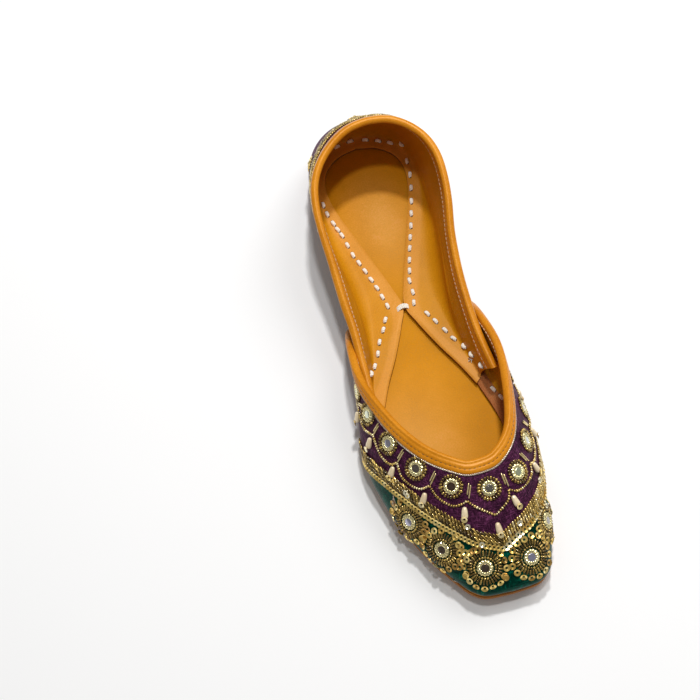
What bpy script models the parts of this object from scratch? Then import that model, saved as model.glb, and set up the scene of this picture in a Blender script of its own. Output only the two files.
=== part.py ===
"""Right mojari shoe: flat leather sole, turned-in upper in two overlapping pieces, bound edges.

Metres, +Z up, toe at -Y, heel at +Y, medial side at +X. The origin is on the underside of the
outsole, half-way between heel and toe.
"""
import math

import bpy
import bmesh
import numpy as np

# Driving dimensions
LENGTH = 0.255              # outsole, heel to toe
BALL_WIDTH = 0.0745         # outsole, across the ball
HEEL_HEIGHT = 0.0505        # floor to the top-line at the back of the heel
THROAT_HEIGHT = 0.0400      # floor to the front of the throat
OUTSOLE_THICKNESS = 0.0034
OUTSOLE_MARGIN = 0.0008     # outsole edge beyond the upper's feather line
OUTSOLE_ROUNDING = 0.0009
INSOLE_THICKNESS = 0.0015
INSOLE_INSET = 0.0004       # insole edge inside the feather line
WALL = 0.0018               # leather and lining together
TOE_SPRING = 0.0018
SPRING_STATIONS = (0.80, 0.84, 0.88, 0.92, 0.96, 1.00)  # shares of the length
CLEARANCE = 0.0003          # between pieces that touch

# Quarter
QUARTER_BULGE = 0.0034      # fullness of the wall behind the heel
QUARTER_BELLY_HEIGHT = 0.42 # share of the wall's height where it is fullest
TIE_GAP = 0.0009            # between the two flaps where the thread holds them together
LAP_LIFT = 0.0011           # the flap climbs this much on to the vamp's margin
LAP_INSET = 0.0030          # and stays this far inside the feather line
QUARTER_CORNER = 0.0045     # turn of the quarter at the feather line, behind the heel

# Vamp
VAMP_BULGE = 0.0042
VAMP_BELLY_HEIGHT = 0.30    # share of the wall's height where it is fullest
VAMP_CROWN_HEIGHT = 0.76    # share of the wall's height where it turns over the toes
VAMP_CROWN_REACH = 0.50     # and how far forward of the throat, a share of the way to the edge
MARGIN_WIDTH = 0.0068       # turned-in margin under the flaps
CORNER_RADIUS = 0.0042      # turn of the vamp at the feather line

# Bindings
BINDING_THICKNESS = 0.0009
THROAT_BAND = 0.0047        # outer leg of the throat binding
THROAT_LINING_BAND = 0.0030
TOPLINE_BAND = 0.0030
TOPLINE_LINING_BAND = 0.0068
EDGE_LENGTH = 0.002         # stretch of wall that gives the direction of its top edge
CREST_FULLNESS = 1.4        # height of the fold over the edge, in binding gaps
CREST_ANGLES = (25, 90, 155)  # degrees round the fold
OUTER_LEG_STEPS = (1, 0.5, 0.12)
INNER_LEG_STEPS = (0.2, 0.6, 1)

# Ornament that stands proud of the vamp
BAND_WIDTH = 0.0075
BAND_THICKNESS = 0.0011
BAND_CLEARANCE = 0.0006    # a little more than elsewhere, because the facets cross
MIRROR_RADIUS = 0.0035
MIRROR_THICKNESS = 0.0010
MIRROR_BEVEL = 0.0005

# Heights that follow from the thicknesses
INSOLE_FLOOR = OUTSOLE_THICKNESS + CLEARANCE
UPPER_FLOOR = INSOLE_FLOOR + INSOLE_THICKNESS + CLEARANCE

# How finely the curved pieces are faceted
OUTLINE_STEPS = 84
OUTLINE_SAMPLES = 241
QUARTER_RIBS = 53
VAMP_RIBS = 53
FLAP_STEPS = 2
MARGIN_STEPS = 1
TURN_STEPS = 4
QUARTER_WALL_STEPS = 6
VAMP_WALL_STEPS = 9
MIRROR_SIDES = 10
BAND_STEPS = 3

# Sole outline. Station is a share of LENGTH from the heel, the others are shares of BALL_WIDTH.
OUTLINE_COLUMNS = ("station", "lateral", "medial")
OUTLINE_ROWS = (
    (0.000, 0.000, 0.000),
    (0.009, 0.167, 0.167),
    (0.036, 0.284, 0.284),
    (0.077, 0.352, 0.352),
    (0.127, 0.383, 0.383),
    (0.181, 0.386, 0.386),
    (0.246, 0.373, 0.373),
    (0.310, 0.346, 0.346),
    (0.375, 0.327, 0.321),
    (0.432, 0.327, 0.315),
    (0.504, 0.358, 0.340),
    (0.576, 0.420, 0.395),
    (0.648, 0.481, 0.463),
    (0.712, 0.502, 0.500),
    (0.773, 0.472, 0.509),
    (0.838, 0.404, 0.496),
    (0.910, 0.281, 0.463),
    (0.967, 0.154, 0.407),
    (0.986, 0.095, 0.365),
    (0.997, 0.020, 0.290),
    (1.000, -0.136, 0.136),
)

# Quarter, from the back of the heel to the square front end of the flap. Edge is a share of half
# the outline, across is a share of BALL_WIDTH, along of LENGTH and height of HEEL_HEIGHT. Corner is
# a share of QUARTER_CORNER, fullness a share of QUARTER_BULGE. Lap goes from 0, where the quarter
# stands on the feather line, to 1, where it lies inside the vamp.
QUARTER_COLUMNS = ("edge", "flap_across", "flap_along", "top_centre", "top_across", "top_along",
                   "top_height", "corner", "fullness", "lap")
QUARTER_ROWS = (
    (0.000, 0.000, 0.033, 0.066, 0.000, 0.073, 1.000, 1.00, 1.00, 0.0),
    (0.043, 0.136, 0.043, 0.066, 0.136, 0.080, 0.996, 1.00, 1.00, 0.0),
    (0.085, 0.235, 0.066, 0.062, 0.259, 0.101, 0.982, 1.00, 1.00, 0.0),
    (0.135, 0.278, 0.095, 0.050, 0.364, 0.134, 0.956, 1.00, 0.92, 0.0),
    (0.185, 0.279, 0.131, 0.036, 0.426, 0.174, 0.915, 1.11, 0.82, 0.0),
    (0.228, 0.246, 0.174, 0.023, 0.444, 0.221, 0.864, 1.33, 0.72, 0.0),
    (0.283, 0.183, 0.228, 0.012, 0.436, 0.271, 0.805, 1.67, 0.60, 0.0),
    (0.341, 0.109, 0.293, -0.001, 0.415, 0.321, 0.735, 2.00, 0.48, 0.0),
    (0.394, 0.043, 0.354, -0.008, 0.405, 0.368, 0.673, 2.00, 0.37, 0.1),
    (0.443, 0.006, 0.402, -0.010, 0.399, 0.411, 0.622, 1.89, 0.35, 0.6),
    (0.489, 0.056, 0.443, -0.004, 0.393, 0.454, 0.575, 1.78, 0.35, 1.0),
    (0.535, 0.148, 0.501, 0.004, 0.390, 0.501, 0.527, 1.44, 0.35, 1.0),
    (0.582, 0.241, 0.551, 0.017, 0.391, 0.547, 0.485, 1.11, 0.35, 1.0),
    (0.628, 0.312, 0.596, 0.031, 0.402, 0.595, 0.449, 1.00, 0.35, 1.0),
)

# Vamp, from the middle of the toe back to the rear edge of each wing. Edge is the share of half the
# outline, throat columns are shares of BALL_WIDTH and LENGTH, height is a share of THROAT_HEIGHT.
VAMP_COLUMNS = ("edge", "lateral", "lateral_along", "lateral_fullness", "medial", "medial_along",
                "medial_fullness", "height")
VAMP_ROWS = (
    (1.000, -0.114, 0.787, 0.50, 0.114, 0.787, 0.50, 1.000),
    (0.965, -0.074, 0.787, 0.50, 0.160, 0.786, 0.50, 1.000),
    (0.935, -0.040, 0.785, 0.45, 0.198, 0.784, 0.45, 1.000),
    (0.905, -0.007, 0.780, 0.45, 0.238, 0.778, 0.45, 1.000),
    (0.860, 0.052, 0.768, 0.60, 0.300, 0.763, 0.60, 0.997),
    (0.810, 0.135, 0.749, 0.80, 0.362, 0.740, 0.80, 0.984),
    (0.765, 0.222, 0.719, 0.95, 0.405, 0.708, 1.20, 0.956),
    (0.715, 0.318, 0.671, 1.20, 0.441, 0.667, 1.80, 0.905),
    (0.670, 0.392, 0.614, 1.60, 0.474, 0.619, 2.30, 0.838),
    (0.620, 0.448, 0.560, 1.80, 0.503, 0.565, 2.40, 0.760),
    (0.565, 0.452, 0.512, 1.50, 0.474, 0.514, 2.00, 0.680),
    (0.522, 0.440, 0.470, 1.10, 0.446, 0.472, 1.30, 0.540),
    (0.492, 0.424, 0.443, 0.80, 0.426, 0.445, 0.80, 0.360),
    (0.476, 0.408, 0.430, 0.60, 0.408, 0.431, 0.60, 0.235),
)

# Places on the vamp. Around is a share of half the outline from the middle of the toe, minus on the
# lateral side; below is a share of the rib's length under the throat.
BAND_ROWS = (
    (-0.375, 0.690),
    (-0.350, 0.620),
    (-0.310, 0.510),
    (-0.270, 0.420),
    (-0.228, 0.360),
    (-0.170, 0.355),
    (-0.100, 0.385),
    (-0.040, 0.430),
    (0.005, 0.465),
    (0.045, 0.435),
    (0.090, 0.440),
    (0.144, 0.500),
    (0.200, 0.585),
    (0.250, 0.640),
    (0.300, 0.700),
)
THROAT_MIRROR_ROWS = (
    (-0.402, 0.250),
    (-0.343, 0.205),
    (-0.285, 0.200),
    (-0.216, 0.190),
    (-0.118, 0.180),
    (0.012, 0.176),
    (0.128, 0.240),
    (0.228, 0.318),
    (0.311, 0.420),
    (0.385, 0.430),
)
TOE_MIRROR_ROWS = (
    (-0.201, 0.645),
    (-0.125, 0.660),
    (-0.040, 0.657),
    (0.045, 0.674),
    (0.128, 0.695),
)


def column(columns, rows, name):
    """One named column of a section table."""
    return np.array([row[columns.index(name)] for row in rows])


def smooth(points, count):
    """Catmull-Rom curve through the points, with as many samples between every two of them."""
    points = np.asarray(points, float)
    padded = np.vstack([2 * points[0] - points[1], points, 2 * points[-1] - points[-2]])
    position = np.linspace(0, len(points) - 1, count)
    segment = np.minimum(position.astype(int), len(points) - 2)
    share = (position - segment)[:, None]
    a, b, c, d = (padded[segment + k] for k in range(4))
    return b + 0.5 * share * (c - a + share * (2 * a - 5 * b + 4 * c - d
                                               + share * (3 * (b - c) + d - a)))


def by_length(points, shares):
    """Points at the given shares of a polyline's length."""
    steps = np.linalg.norm(np.diff(points, axis=0), axis=1)
    travelled = np.concatenate([[0], np.cumsum(steps)])
    travelled /= travelled[-1]
    return np.column_stack([np.interp(shares, travelled, axis) for axis in points.T])


def station_to_y(station):
    return LENGTH * (0.5 - station)


def half_outline(side):
    """Feather line from heel to toe in plan; side is -1 for lateral, +1 for medial."""
    name = "lateral" if side < 0 else "medial"
    across = side * BALL_WIDTH * column(OUTLINE_COLUMNS, OUTLINE_ROWS, name)
    along = station_to_y(column(OUTLINE_COLUMNS, OUTLINE_ROWS, "station"))
    return smooth(np.column_stack([across, along]), OUTLINE_SAMPLES)


def full_outline(count):
    """The closed feather line, evenly spaced, counter-clockwise seen from above."""
    medial = half_outline(1)[::-1]
    lateral = half_outline(-1)
    loop = np.vstack([medial, lateral[1:]])
    return by_length(loop, np.arange(count) / count)


def plan_normals(points, closed):
    """Unit vectors to the right of the direction of travel, in plan."""
    if closed:
        ahead = np.roll(points, -1, axis=0) - np.roll(points, 1, axis=0)
    else:
        ahead = np.gradient(points, axis=0)
    right = np.column_stack([ahead[:, 1], -ahead[:, 0]])
    return right / np.linalg.norm(right, axis=1)[:, None]


def spring(y):
    """Lift towards the toe, in straight steps between the spring stations.

    It is the same for every piece, so that their clearances stay.
    """
    stations = np.array(SPRING_STATIONS)
    rise = (stations - stations[0]) / (stations[-1] - stations[0])
    return np.interp(0.5 - y / LENGTH, stations, TOE_SPRING * rise ** 2)


def bezier(controls, shares):
    """Bezier curve of any degree; controls are arrays of points, one curve per row."""
    order = len(controls) - 1
    total = 0
    for k, control in enumerate(controls):
        weight = math.comb(order, k) * shares ** k * (1 - shares) ** (order - k)
        total = total + weight[None, :, None] * control[:, None, :]
    return total


def towards(start, end, distance):
    """Points at a distance from start on the way to end."""
    way = end - start
    return start + way / np.linalg.norm(way, axis=1)[:, None] * np.reshape(distance, (-1, 1))


def with_height(plan, height):
    return np.column_stack([plan, np.broadcast_to(height, len(plan))])


def grid_normals(grid):
    """Unit normals of a grid whose rows follow each other counter-clockwise: they face out."""
    normals = np.cross(np.gradient(grid, axis=0), np.gradient(grid, axis=1))
    return normals / np.linalg.norm(normals, axis=2)[..., None]


def grid_faces(rows, columns, offset, flip):
    faces = []
    for i in range(rows - 1):
        for j in range(columns - 1):
            a = offset + i * columns + j
            face = (a, a + columns, a + columns + 1, a + 1)
            faces.append(face[::-1] if flip else face)
    return faces


def thin_solid(name, outer, inner, colour, roughness):
    """Closed wall between two grids of the same size, with all four borders closed."""
    rows, columns = outer.shape[:2]
    size = rows * columns
    faces = grid_faces(rows, columns, 0, False) + grid_faces(rows, columns, size, True)
    border = [i * columns for i in range(rows)]
    border += [(rows - 1) * columns + j for j in range(1, columns)]
    border += [i * columns + columns - 1 for i in range(rows - 2, -1, -1)]
    border += [j for j in range(columns - 2, 0, -1)]
    for here, there in zip(border, border[1:] + border[:1]):
        faces.append((here, here + size, there + size, there))
    points = np.vstack([outer.reshape(-1, 3), inner.reshape(-1, 3)])
    return add_object(name, points, faces, colour, roughness)


def add_object(name, points, faces, colour, roughness, metallic=0.0, flat=False):
    """One closed piece with its finish. A flat one is creased where the toe spring bends it."""
    mesh = bpy.data.meshes.new(name)
    mesh.from_pydata([tuple(p) for p in points], [], faces)
    shape = bmesh.new()
    shape.from_mesh(mesh)
    if flat:
        for station in SPRING_STATIONS[:-1]:
            bmesh.ops.bisect_plane(shape, geom=shape.verts[:] + shape.edges[:] + shape.faces[:],
                                   dist=1e-7, plane_co=(0, station_to_y(station), 0),
                                   plane_no=(0, 1, 0))
    for vertex in shape.verts:
        vertex.co.z += spring(vertex.co.y)
    bmesh.ops.recalc_face_normals(shape, faces=shape.faces)
    shape.to_mesh(mesh)
    shape.free()
    mesh.shade_smooth()
    mesh.set_sharp_from_angle(angle=math.radians(40))
    material = bpy.data.materials.new(name + "_finish")
    material.use_nodes = True
    shader = material.node_tree.nodes["Principled BSDF"]
    shader.inputs["Base Color"].default_value = (*colour, 1)
    shader.inputs["Roughness"].default_value = roughness
    shader.inputs["Metallic"].default_value = metallic
    mesh.materials.append(material)
    piece = bpy.data.objects.new(name, mesh)
    bpy.context.scene.collection.objects.link(piece)
    return piece


def plate(name, outline, levels, colour, roughness):
    """Flat piece through rings of the outline; levels are pairs of outward offset and height."""
    normals = plan_normals(outline, True)
    count = len(outline)
    points = np.vstack([with_height(outline + normals * out, height) for out, height in levels])
    faces = [tuple(range(count))[::-1]]
    for level in range(len(levels) - 1):
        for k in range(count):
            a, b = level * count + k, level * count + (k + 1) % count
            faces.append((a, b, b + count, a + count))
    faces.append(tuple(range((len(levels) - 1) * count, len(levels) * count)))
    return add_object(name, points, faces, colour, roughness, flat=True)


def rib(flap, feather, belly, crown, top, corner, counts):
    """Leather from the flap's inner edge over the turn at the feather line up to the top edge.

    The flap is straight, the turn is a quadratic curve and the wall leaves it towards belly, then
    comes to the top past crown.
    """
    turn_start = towards(feather, flap, corner)
    turn_end = towards(feather, belly, corner)
    flat, turn, wall = (np.linspace(0, 1, n + 1) for n in counts)
    parts = [bezier([flap, turn_start], flat)[:, :-1],
             bezier([turn_start, feather, turn_end], turn)[:, :-1]]
    parts.append(bezier([turn_end, belly, top] if crown is None else [turn_end, belly, crown, top],
                        wall))
    return np.concatenate(parts, axis=1)


def quarter_surface():
    """Outer face of the quarter as a grid, from the medial front end round the heel."""
    halves = []
    table = smooth(QUARTER_ROWS, (QUARTER_RIBS + 1) // 2)
    value = {name: table[:, k] for k, name in enumerate(QUARTER_COLUMNS)}
    lap = np.clip(value["lap"], 0, 1)
    for side in (-1, 1):
        outline = half_outline(side)
        edge = by_length(outline, value["edge"])
        outward = by_length(-side * plan_normals(outline, False), value["edge"])
        outward /= np.linalg.norm(outward, axis=1)[:, None]
        feather = edge - outward * (LAP_INSET * lap)[:, None]
        height = UPPER_FLOOR + LAP_LIFT * lap
        across = np.maximum(value["flap_across"] * BALL_WIDTH, TIE_GAP / 2 * (value["edge"] > 0))
        flap = np.column_stack([side * across, station_to_y(value["flap_along"])])
        top = np.column_stack([
            BALL_WIDTH * (value["top_centre"] + side * value["top_across"]),
            station_to_y(value["top_along"])])
        top_height = HEEL_HEIGHT * value["top_height"]
        belly = feather + outward * QUARTER_BULGE * value["fullness"][:, None]
        belly_height = height + QUARTER_BELLY_HEIGHT * (top_height - height)
        halves.append(rib(with_height(flap, height), with_height(feather, height),
                          with_height(belly, belly_height), None, with_height(top, top_height),
                          QUARTER_CORNER * value["corner"],
                          (FLAP_STEPS, TURN_STEPS, QUARTER_WALL_STEPS)))
    lateral, medial = halves
    return np.concatenate([medial[::-1], lateral[1:]])


def vamp_surface():
    """Outer face of the vamp as a grid, from the lateral wing round the toe to the medial wing.

    The second result says how far round each rib lies: a share of half the outline from the middle
    of the toe, minus on the lateral side.
    """
    table = smooth(VAMP_ROWS, (VAMP_RIBS + 1) // 2)
    value = {name: table[:, k] for k, name in enumerate(VAMP_COLUMNS)}
    halves = []
    for side, name in ((-1, "lateral"), (1, "medial")):
        outline = half_outline(side)
        feather = by_length(outline, value["edge"])
        outward = by_length(-side * plan_normals(outline, False), value["edge"])
        outward /= np.linalg.norm(outward, axis=1)[:, None]
        margin = feather - outward * MARGIN_WIDTH
        top = np.column_stack([side * BALL_WIDTH * value[name],
                               station_to_y(value[name + "_along"])])
        top_height = THROAT_HEIGHT * value["height"]
        belly = feather + outward * VAMP_BULGE * value[name + "_fullness"][:, None]
        belly_height = UPPER_FLOOR + VAMP_BELLY_HEIGHT * (top_height - UPPER_FLOOR)
        crown = top + VAMP_CROWN_REACH * (feather - top)
        crown_height = UPPER_FLOOR + VAMP_CROWN_HEIGHT * (top_height - UPPER_FLOOR)
        halves.append(rib(with_height(margin, UPPER_FLOOR), with_height(feather, UPPER_FLOOR),
                          with_height(belly, belly_height), with_height(crown, crown_height),
                          with_height(top, top_height), CORNER_RADIUS,
                          (MARGIN_STEPS, TURN_STEPS, VAMP_WALL_STEPS)))
    lateral, medial = halves
    around = 1 - value["edge"]
    return (np.concatenate([lateral[::-1], medial[1:]]),
            np.concatenate([-around[::-1], around[1:]]))


def rib_lengths(grid):
    """Length of each rib from its top edge down to every one of its points."""
    steps = np.linalg.norm(np.diff(grid[:, ::-1], axis=1), axis=2)
    return np.cumsum(np.column_stack([np.zeros(len(grid)), steps]), axis=1)


def down_rib(grid, distance, values=None):
    """Points, or other values, on each rib at a distance below its top edge."""
    values = grid if values is None else values
    found = []
    for down, travelled, line in zip(np.broadcast_to(distance, len(grid)), rib_lengths(grid),
                                     values):
        found.append([np.interp(down, travelled, axis) for axis in line[::-1].T])
    return np.array(found)


def binding(name, outer, inner, outer_leg, inner_leg, colour):
    """Leather strip folded over the top edge between two faces of a wall."""
    outward = grid_normals(outer)[:, -1]
    rise = outer[:, -1] - down_rib(outer, EDGE_LENGTH)
    rise /= np.linalg.norm(rise, axis=1)[:, None]
    crest = 0.5 * (outer[:, -1] + inner[:, -1])
    layers = []
    for gap in (CLEARANCE + BINDING_THICKNESS, CLEARANCE):
        half = 0.5 * WALL + gap
        path = [down_rib(outer, outer_leg * k) + outward * gap for k in OUTER_LEG_STEPS]
        for turn in CREST_ANGLES:
            angle = math.radians(turn)
            path.append(crest + outward * half * math.cos(angle)
                        + rise * gap * CREST_FULLNESS * math.sin(angle))
        path += [down_rib(inner, inner_leg * k) - outward * gap for k in INNER_LEG_STEPS]
        layers.append(np.stack(path, axis=1))
    return thin_solid(name, layers[0], layers[1], colour, 0.45)


def bead_band(vamp, around):
    """Raised strip of bead work, laid as a V over the vamp from its own ribs."""
    rows = np.array(BAND_ROWS)
    within = (around >= rows[0, 0]) & (around <= rows[-1, 0])
    upper_edge = np.interp(around, rows[:, 0], rows[:, 1]) * rib_lengths(vamp)[:, -1]
    normals = grid_normals(vamp)
    skin, lining = [], []
    for step in np.linspace(0, 1, BAND_STEPS + 1):
        down = upper_edge + BAND_WIDTH * step
        point = down_rib(vamp, down)[within]
        normal = down_rib(vamp, down, normals)[within]
        skin.append(point + normal * (BAND_CLEARANCE + BAND_THICKNESS))
        lining.append(point + normal * BAND_CLEARANCE)
    thin_solid("bead_band", np.stack(skin[::-1], axis=1), np.stack(lining[::-1], axis=1),
               (0.38, 0.27, 0.08), 0.35)


def mirror(name, vamp, around, place):
    """Round mirror in its metal rim, lying on the vamp at a place from the tables above."""
    rib_place = np.interp(place[0], around, np.arange(len(around)))
    first = int(rib_place)
    pair = vamp[first:first + 2]
    down = place[1] * rib_lengths(pair)[:, -1]
    blend = np.array([1 - rib_place + first, rib_place - first])
    centre = blend @ down_rib(pair, down)
    normal = blend @ down_rib(pair, down, grid_normals(vamp)[first:first + 2])
    normal /= np.linalg.norm(normal)
    side = np.cross(normal, (0, 0, 1))
    side /= np.linalg.norm(side)
    other = np.cross(normal, side)
    angles = np.linspace(0, 2 * math.pi, MIRROR_SIDES, endpoint=False)[:, None]
    circle = np.cos(angles) * side + np.sin(angles) * other
    rings = [centre + normal * (CLEARANCE + height) + circle * radius for radius, height in (
        (MIRROR_RADIUS, 0),
        (MIRROR_RADIUS, MIRROR_THICKNESS - MIRROR_BEVEL),
        (MIRROR_RADIUS - MIRROR_BEVEL, MIRROR_THICKNESS))]
    faces = [tuple(range(MIRROR_SIDES))]
    for ring in range(len(rings) - 1):
        for k in range(MIRROR_SIDES):
            a, b = ring * MIRROR_SIDES + k, ring * MIRROR_SIDES + (k + 1) % MIRROR_SIDES
            faces.append((a, b, b + MIRROR_SIDES, a + MIRROR_SIDES))
    faces.append(tuple(range((len(rings) - 1) * MIRROR_SIDES, len(rings) * MIRROR_SIDES)))
    add_object(name, np.vstack(rings), faces, (0.80, 0.74, 0.45), 0.15, metallic=1.0)


def build():
    for thing in list(bpy.data.objects):
        bpy.data.objects.remove(thing, do_unlink=True)

    outline = full_outline(OUTLINE_STEPS)
    plate("outsole", outline, [
        (OUTSOLE_MARGIN - OUTSOLE_ROUNDING, 0),
        (OUTSOLE_MARGIN, OUTSOLE_ROUNDING),
        (OUTSOLE_MARGIN, OUTSOLE_THICKNESS)], (0.42, 0.17, 0.05), 0.6)
    plate("insole", outline, [
        (-INSOLE_INSET, INSOLE_FLOOR),
        (-INSOLE_INSET, INSOLE_FLOOR + INSOLE_THICKNESS)], (0.60, 0.27, 0.06), 0.5)

    quarter = quarter_surface()
    quarter_inner = quarter - grid_normals(quarter) * WALL
    vamp, around = vamp_surface()
    vamp_inner = vamp - grid_normals(vamp) * WALL
    upper = thin_solid("upper", vamp, vamp_inner, (0.12, 0.02, 0.13), 0.6)
    back = thin_solid("quarter", quarter, quarter_inner, (0.62, 0.28, 0.07), 0.5)
    back.hide_render = True
    back.display_type = "WIRE"
    join = upper.modifiers.new("sewn together", "BOOLEAN")
    join.operation = "UNION"
    join.solver = "EXACT"
    join.object = back

    tan = (0.66, 0.28, 0.06)
    binding("vamp_binding", vamp, vamp_inner, THROAT_BAND, THROAT_LINING_BAND, tan)
    binding("quarter_binding", quarter, quarter_inner, TOPLINE_BAND, TOPLINE_LINING_BAND, tan)

    bead_band(vamp, around)
    for row, place in enumerate(THROAT_MIRROR_ROWS, 1):
        mirror(f"throat_mirror_{row}", vamp, around, place)
    for row, place in enumerate(TOE_MIRROR_ROWS, 1):
        mirror(f"toe_mirror_{row}", vamp, around, place)


build()
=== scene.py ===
import math

import bpy
import numpy as np
from mathutils import Matrix
from mathutils.bvhtree import BVHTree


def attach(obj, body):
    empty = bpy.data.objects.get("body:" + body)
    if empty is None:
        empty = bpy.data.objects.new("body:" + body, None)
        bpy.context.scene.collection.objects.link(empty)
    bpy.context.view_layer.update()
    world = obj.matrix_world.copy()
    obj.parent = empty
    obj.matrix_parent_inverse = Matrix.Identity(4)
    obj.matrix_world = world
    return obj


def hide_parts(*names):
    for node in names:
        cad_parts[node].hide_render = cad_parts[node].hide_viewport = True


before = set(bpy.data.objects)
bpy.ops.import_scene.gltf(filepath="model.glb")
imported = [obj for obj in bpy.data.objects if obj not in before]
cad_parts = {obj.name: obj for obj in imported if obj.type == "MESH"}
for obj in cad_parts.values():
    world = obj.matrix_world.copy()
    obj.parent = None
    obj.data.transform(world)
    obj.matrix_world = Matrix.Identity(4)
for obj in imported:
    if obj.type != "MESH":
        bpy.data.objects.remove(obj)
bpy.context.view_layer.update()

mm = 0.001
photoEye = (-0.0675, -0.2819, 0.7116)

# Sizes of the shoe in metres, the same as in its solids; shares where a name says so
shoe = {
    "length": 0.255, "ballWidth": 0.0745, "heelHeight": 0.0505, "throatHeight": 0.0400,
    "outsole": 0.0034, "outsoleMargin": 0.0002, "insole": 0.0015, "insoleInset": 0.0004,
    "wall": 0.0018, "gap": 0.0003, "toeSpring": 0.0018, "springFromShare": 0.80}
shoe["insoleFloor"] = shoe["outsole"] + shoe["gap"]
shoe["upperFloor"] = shoe["insoleFloor"] + shoe["insole"] + shoe["gap"]
quarterCut = {
    "bulge": 0.0034, "bellyShare": 0.42, "tieGap": 0.0009, "lapLift": 0.0011, "lapInset": 0.0018,
    "corner": 0.0045}
vampCut = {
    "bulge": 0.0042, "bellyShare": 0.30, "crownShare": 0.76, "crownReachShare": 0.50,
    "margin": 0.0068, "corner": 0.0042}

# Sole outline: station along the length from the heel, lateral and medial half widths
outlineRows = np.array([
    (0.000, 0.000, 0.000), (0.009, 0.167, 0.167), (0.036, 0.284, 0.284), (0.077, 0.352, 0.352),
    (0.127, 0.383, 0.383), (0.181, 0.386, 0.386), (0.246, 0.373, 0.373), (0.310, 0.346, 0.346),
    (0.375, 0.327, 0.321), (0.432, 0.327, 0.315), (0.504, 0.358, 0.340), (0.576, 0.420, 0.395),
    (0.648, 0.481, 0.463), (0.712, 0.502, 0.500), (0.773, 0.472, 0.509), (0.838, 0.404, 0.496),
    (0.910, 0.281, 0.463), (0.967, 0.154, 0.407), (0.986, 0.095, 0.365), (0.997, 0.020, 0.290),
    (1.000, -0.136, 0.136)])

# Quarter: edge, flap across and along, top centre, across, along and height, corner, fullness, lap
quarterRows = np.array([
    (0.000, 0.000, 0.033, 0.066, 0.000, 0.073, 1.000, 1.00, 1.00, 0.0),
    (0.043, 0.136, 0.043, 0.066, 0.136, 0.080, 0.996, 1.00, 1.00, 0.0),
    (0.085, 0.235, 0.066, 0.062, 0.259, 0.101, 0.982, 1.00, 1.00, 0.0),
    (0.135, 0.278, 0.095, 0.050, 0.364, 0.134, 0.956, 1.00, 0.92, 0.0),
    (0.185, 0.279, 0.131, 0.036, 0.426, 0.174, 0.915, 1.11, 0.82, 0.0),
    (0.228, 0.246, 0.174, 0.023, 0.444, 0.221, 0.864, 1.33, 0.72, 0.0),
    (0.283, 0.183, 0.228, 0.012, 0.436, 0.271, 0.805, 1.67, 0.60, 0.0),
    (0.341, 0.109, 0.293, -0.001, 0.415, 0.321, 0.735, 2.00, 0.48, 0.0),
    (0.394, 0.043, 0.354, -0.008, 0.405, 0.368, 0.673, 2.00, 0.37, 0.1),
    (0.443, 0.006, 0.402, -0.010, 0.399, 0.411, 0.622, 1.40, 0.40, 0.6),
    (0.483, 0.056, 0.443, -0.004, 0.393, 0.454, 0.575, 0.95, 0.50, 1.0),
    (0.516, 0.148, 0.501, -0.001, 0.395, 0.501, 0.527, 0.75, 0.50, 1.0),
    (0.544, 0.241, 0.551, 0.007, 0.401, 0.547, 0.485, 0.65, 0.45, 1.0),
    (0.568, 0.312, 0.596, 0.018, 0.415, 0.595, 0.449, 0.65, 0.40, 1.0)])

# Vamp: edge, lateral across, along, fullness, medial across, along, fullness, height
vampRows = np.array([
    (1.000, -0.114, 0.787, 0.50, 0.114, 0.787, 0.50, 1.000),
    (0.965, -0.074, 0.787, 0.50, 0.160, 0.786, 0.50, 1.000),
    (0.935, -0.040, 0.785, 0.45, 0.198, 0.784, 0.45, 1.000),
    (0.905, -0.007, 0.780, 0.45, 0.238, 0.778, 0.45, 1.000),
    (0.860, 0.052, 0.768, 0.60, 0.300, 0.763, 0.60, 0.997),
    (0.810, 0.135, 0.749, 0.70, 0.362, 0.740, 0.75, 0.984),
    (0.765, 0.222, 0.719, 0.75, 0.405, 0.708, 1.00, 0.956),
    (0.715, 0.318, 0.671, 0.85, 0.441, 0.667, 1.40, 0.905),
    (0.670, 0.392, 0.614, 1.00, 0.472, 0.619, 1.70, 0.838),
    (0.620, 0.448, 0.560, 1.10, 0.495, 0.565, 1.80, 0.760),
    (0.565, 0.452, 0.512, 1.00, 0.466, 0.514, 1.50, 0.680),
    (0.522, 0.440, 0.470, 0.80, 0.440, 0.472, 1.00, 0.540),
    (0.492, 0.424, 0.443, 0.80, 0.426, 0.445, 0.80, 0.360),
    (0.476, 0.408, 0.430, 0.60, 0.408, 0.431, 0.60, 0.235)])

# Places on the vamp's chart: around is a share of half the outline from the middle of the toe, minus
# on the lateral side; below is a share of the rib's length under the throat
bandRows = np.array([
    (-0.375, 0.690), (-0.350, 0.620), (-0.310, 0.510), (-0.270, 0.420), (-0.228, 0.360),
    (-0.170, 0.355), (-0.100, 0.385), (-0.040, 0.430), (0.005, 0.465), (0.045, 0.435),
    (0.090, 0.440), (0.144, 0.500), (0.200, 0.585), (0.250, 0.640), (0.300, 0.700)])
throatMirrorRows = np.array([
    (-0.402, 0.250), (-0.343, 0.205), (-0.285, 0.200), (-0.216, 0.190), (-0.118, 0.180),
    (0.012, 0.176), (0.128, 0.240), (0.228, 0.318), (0.311, 0.420), (0.385, 0.430)])
toeMirrorRows = np.array([
    (-0.201, 0.645), (-0.125, 0.660), (-0.040, 0.657), (0.045, 0.674), (0.128, 0.695)])


# Curves and surfaces of the last

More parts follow.
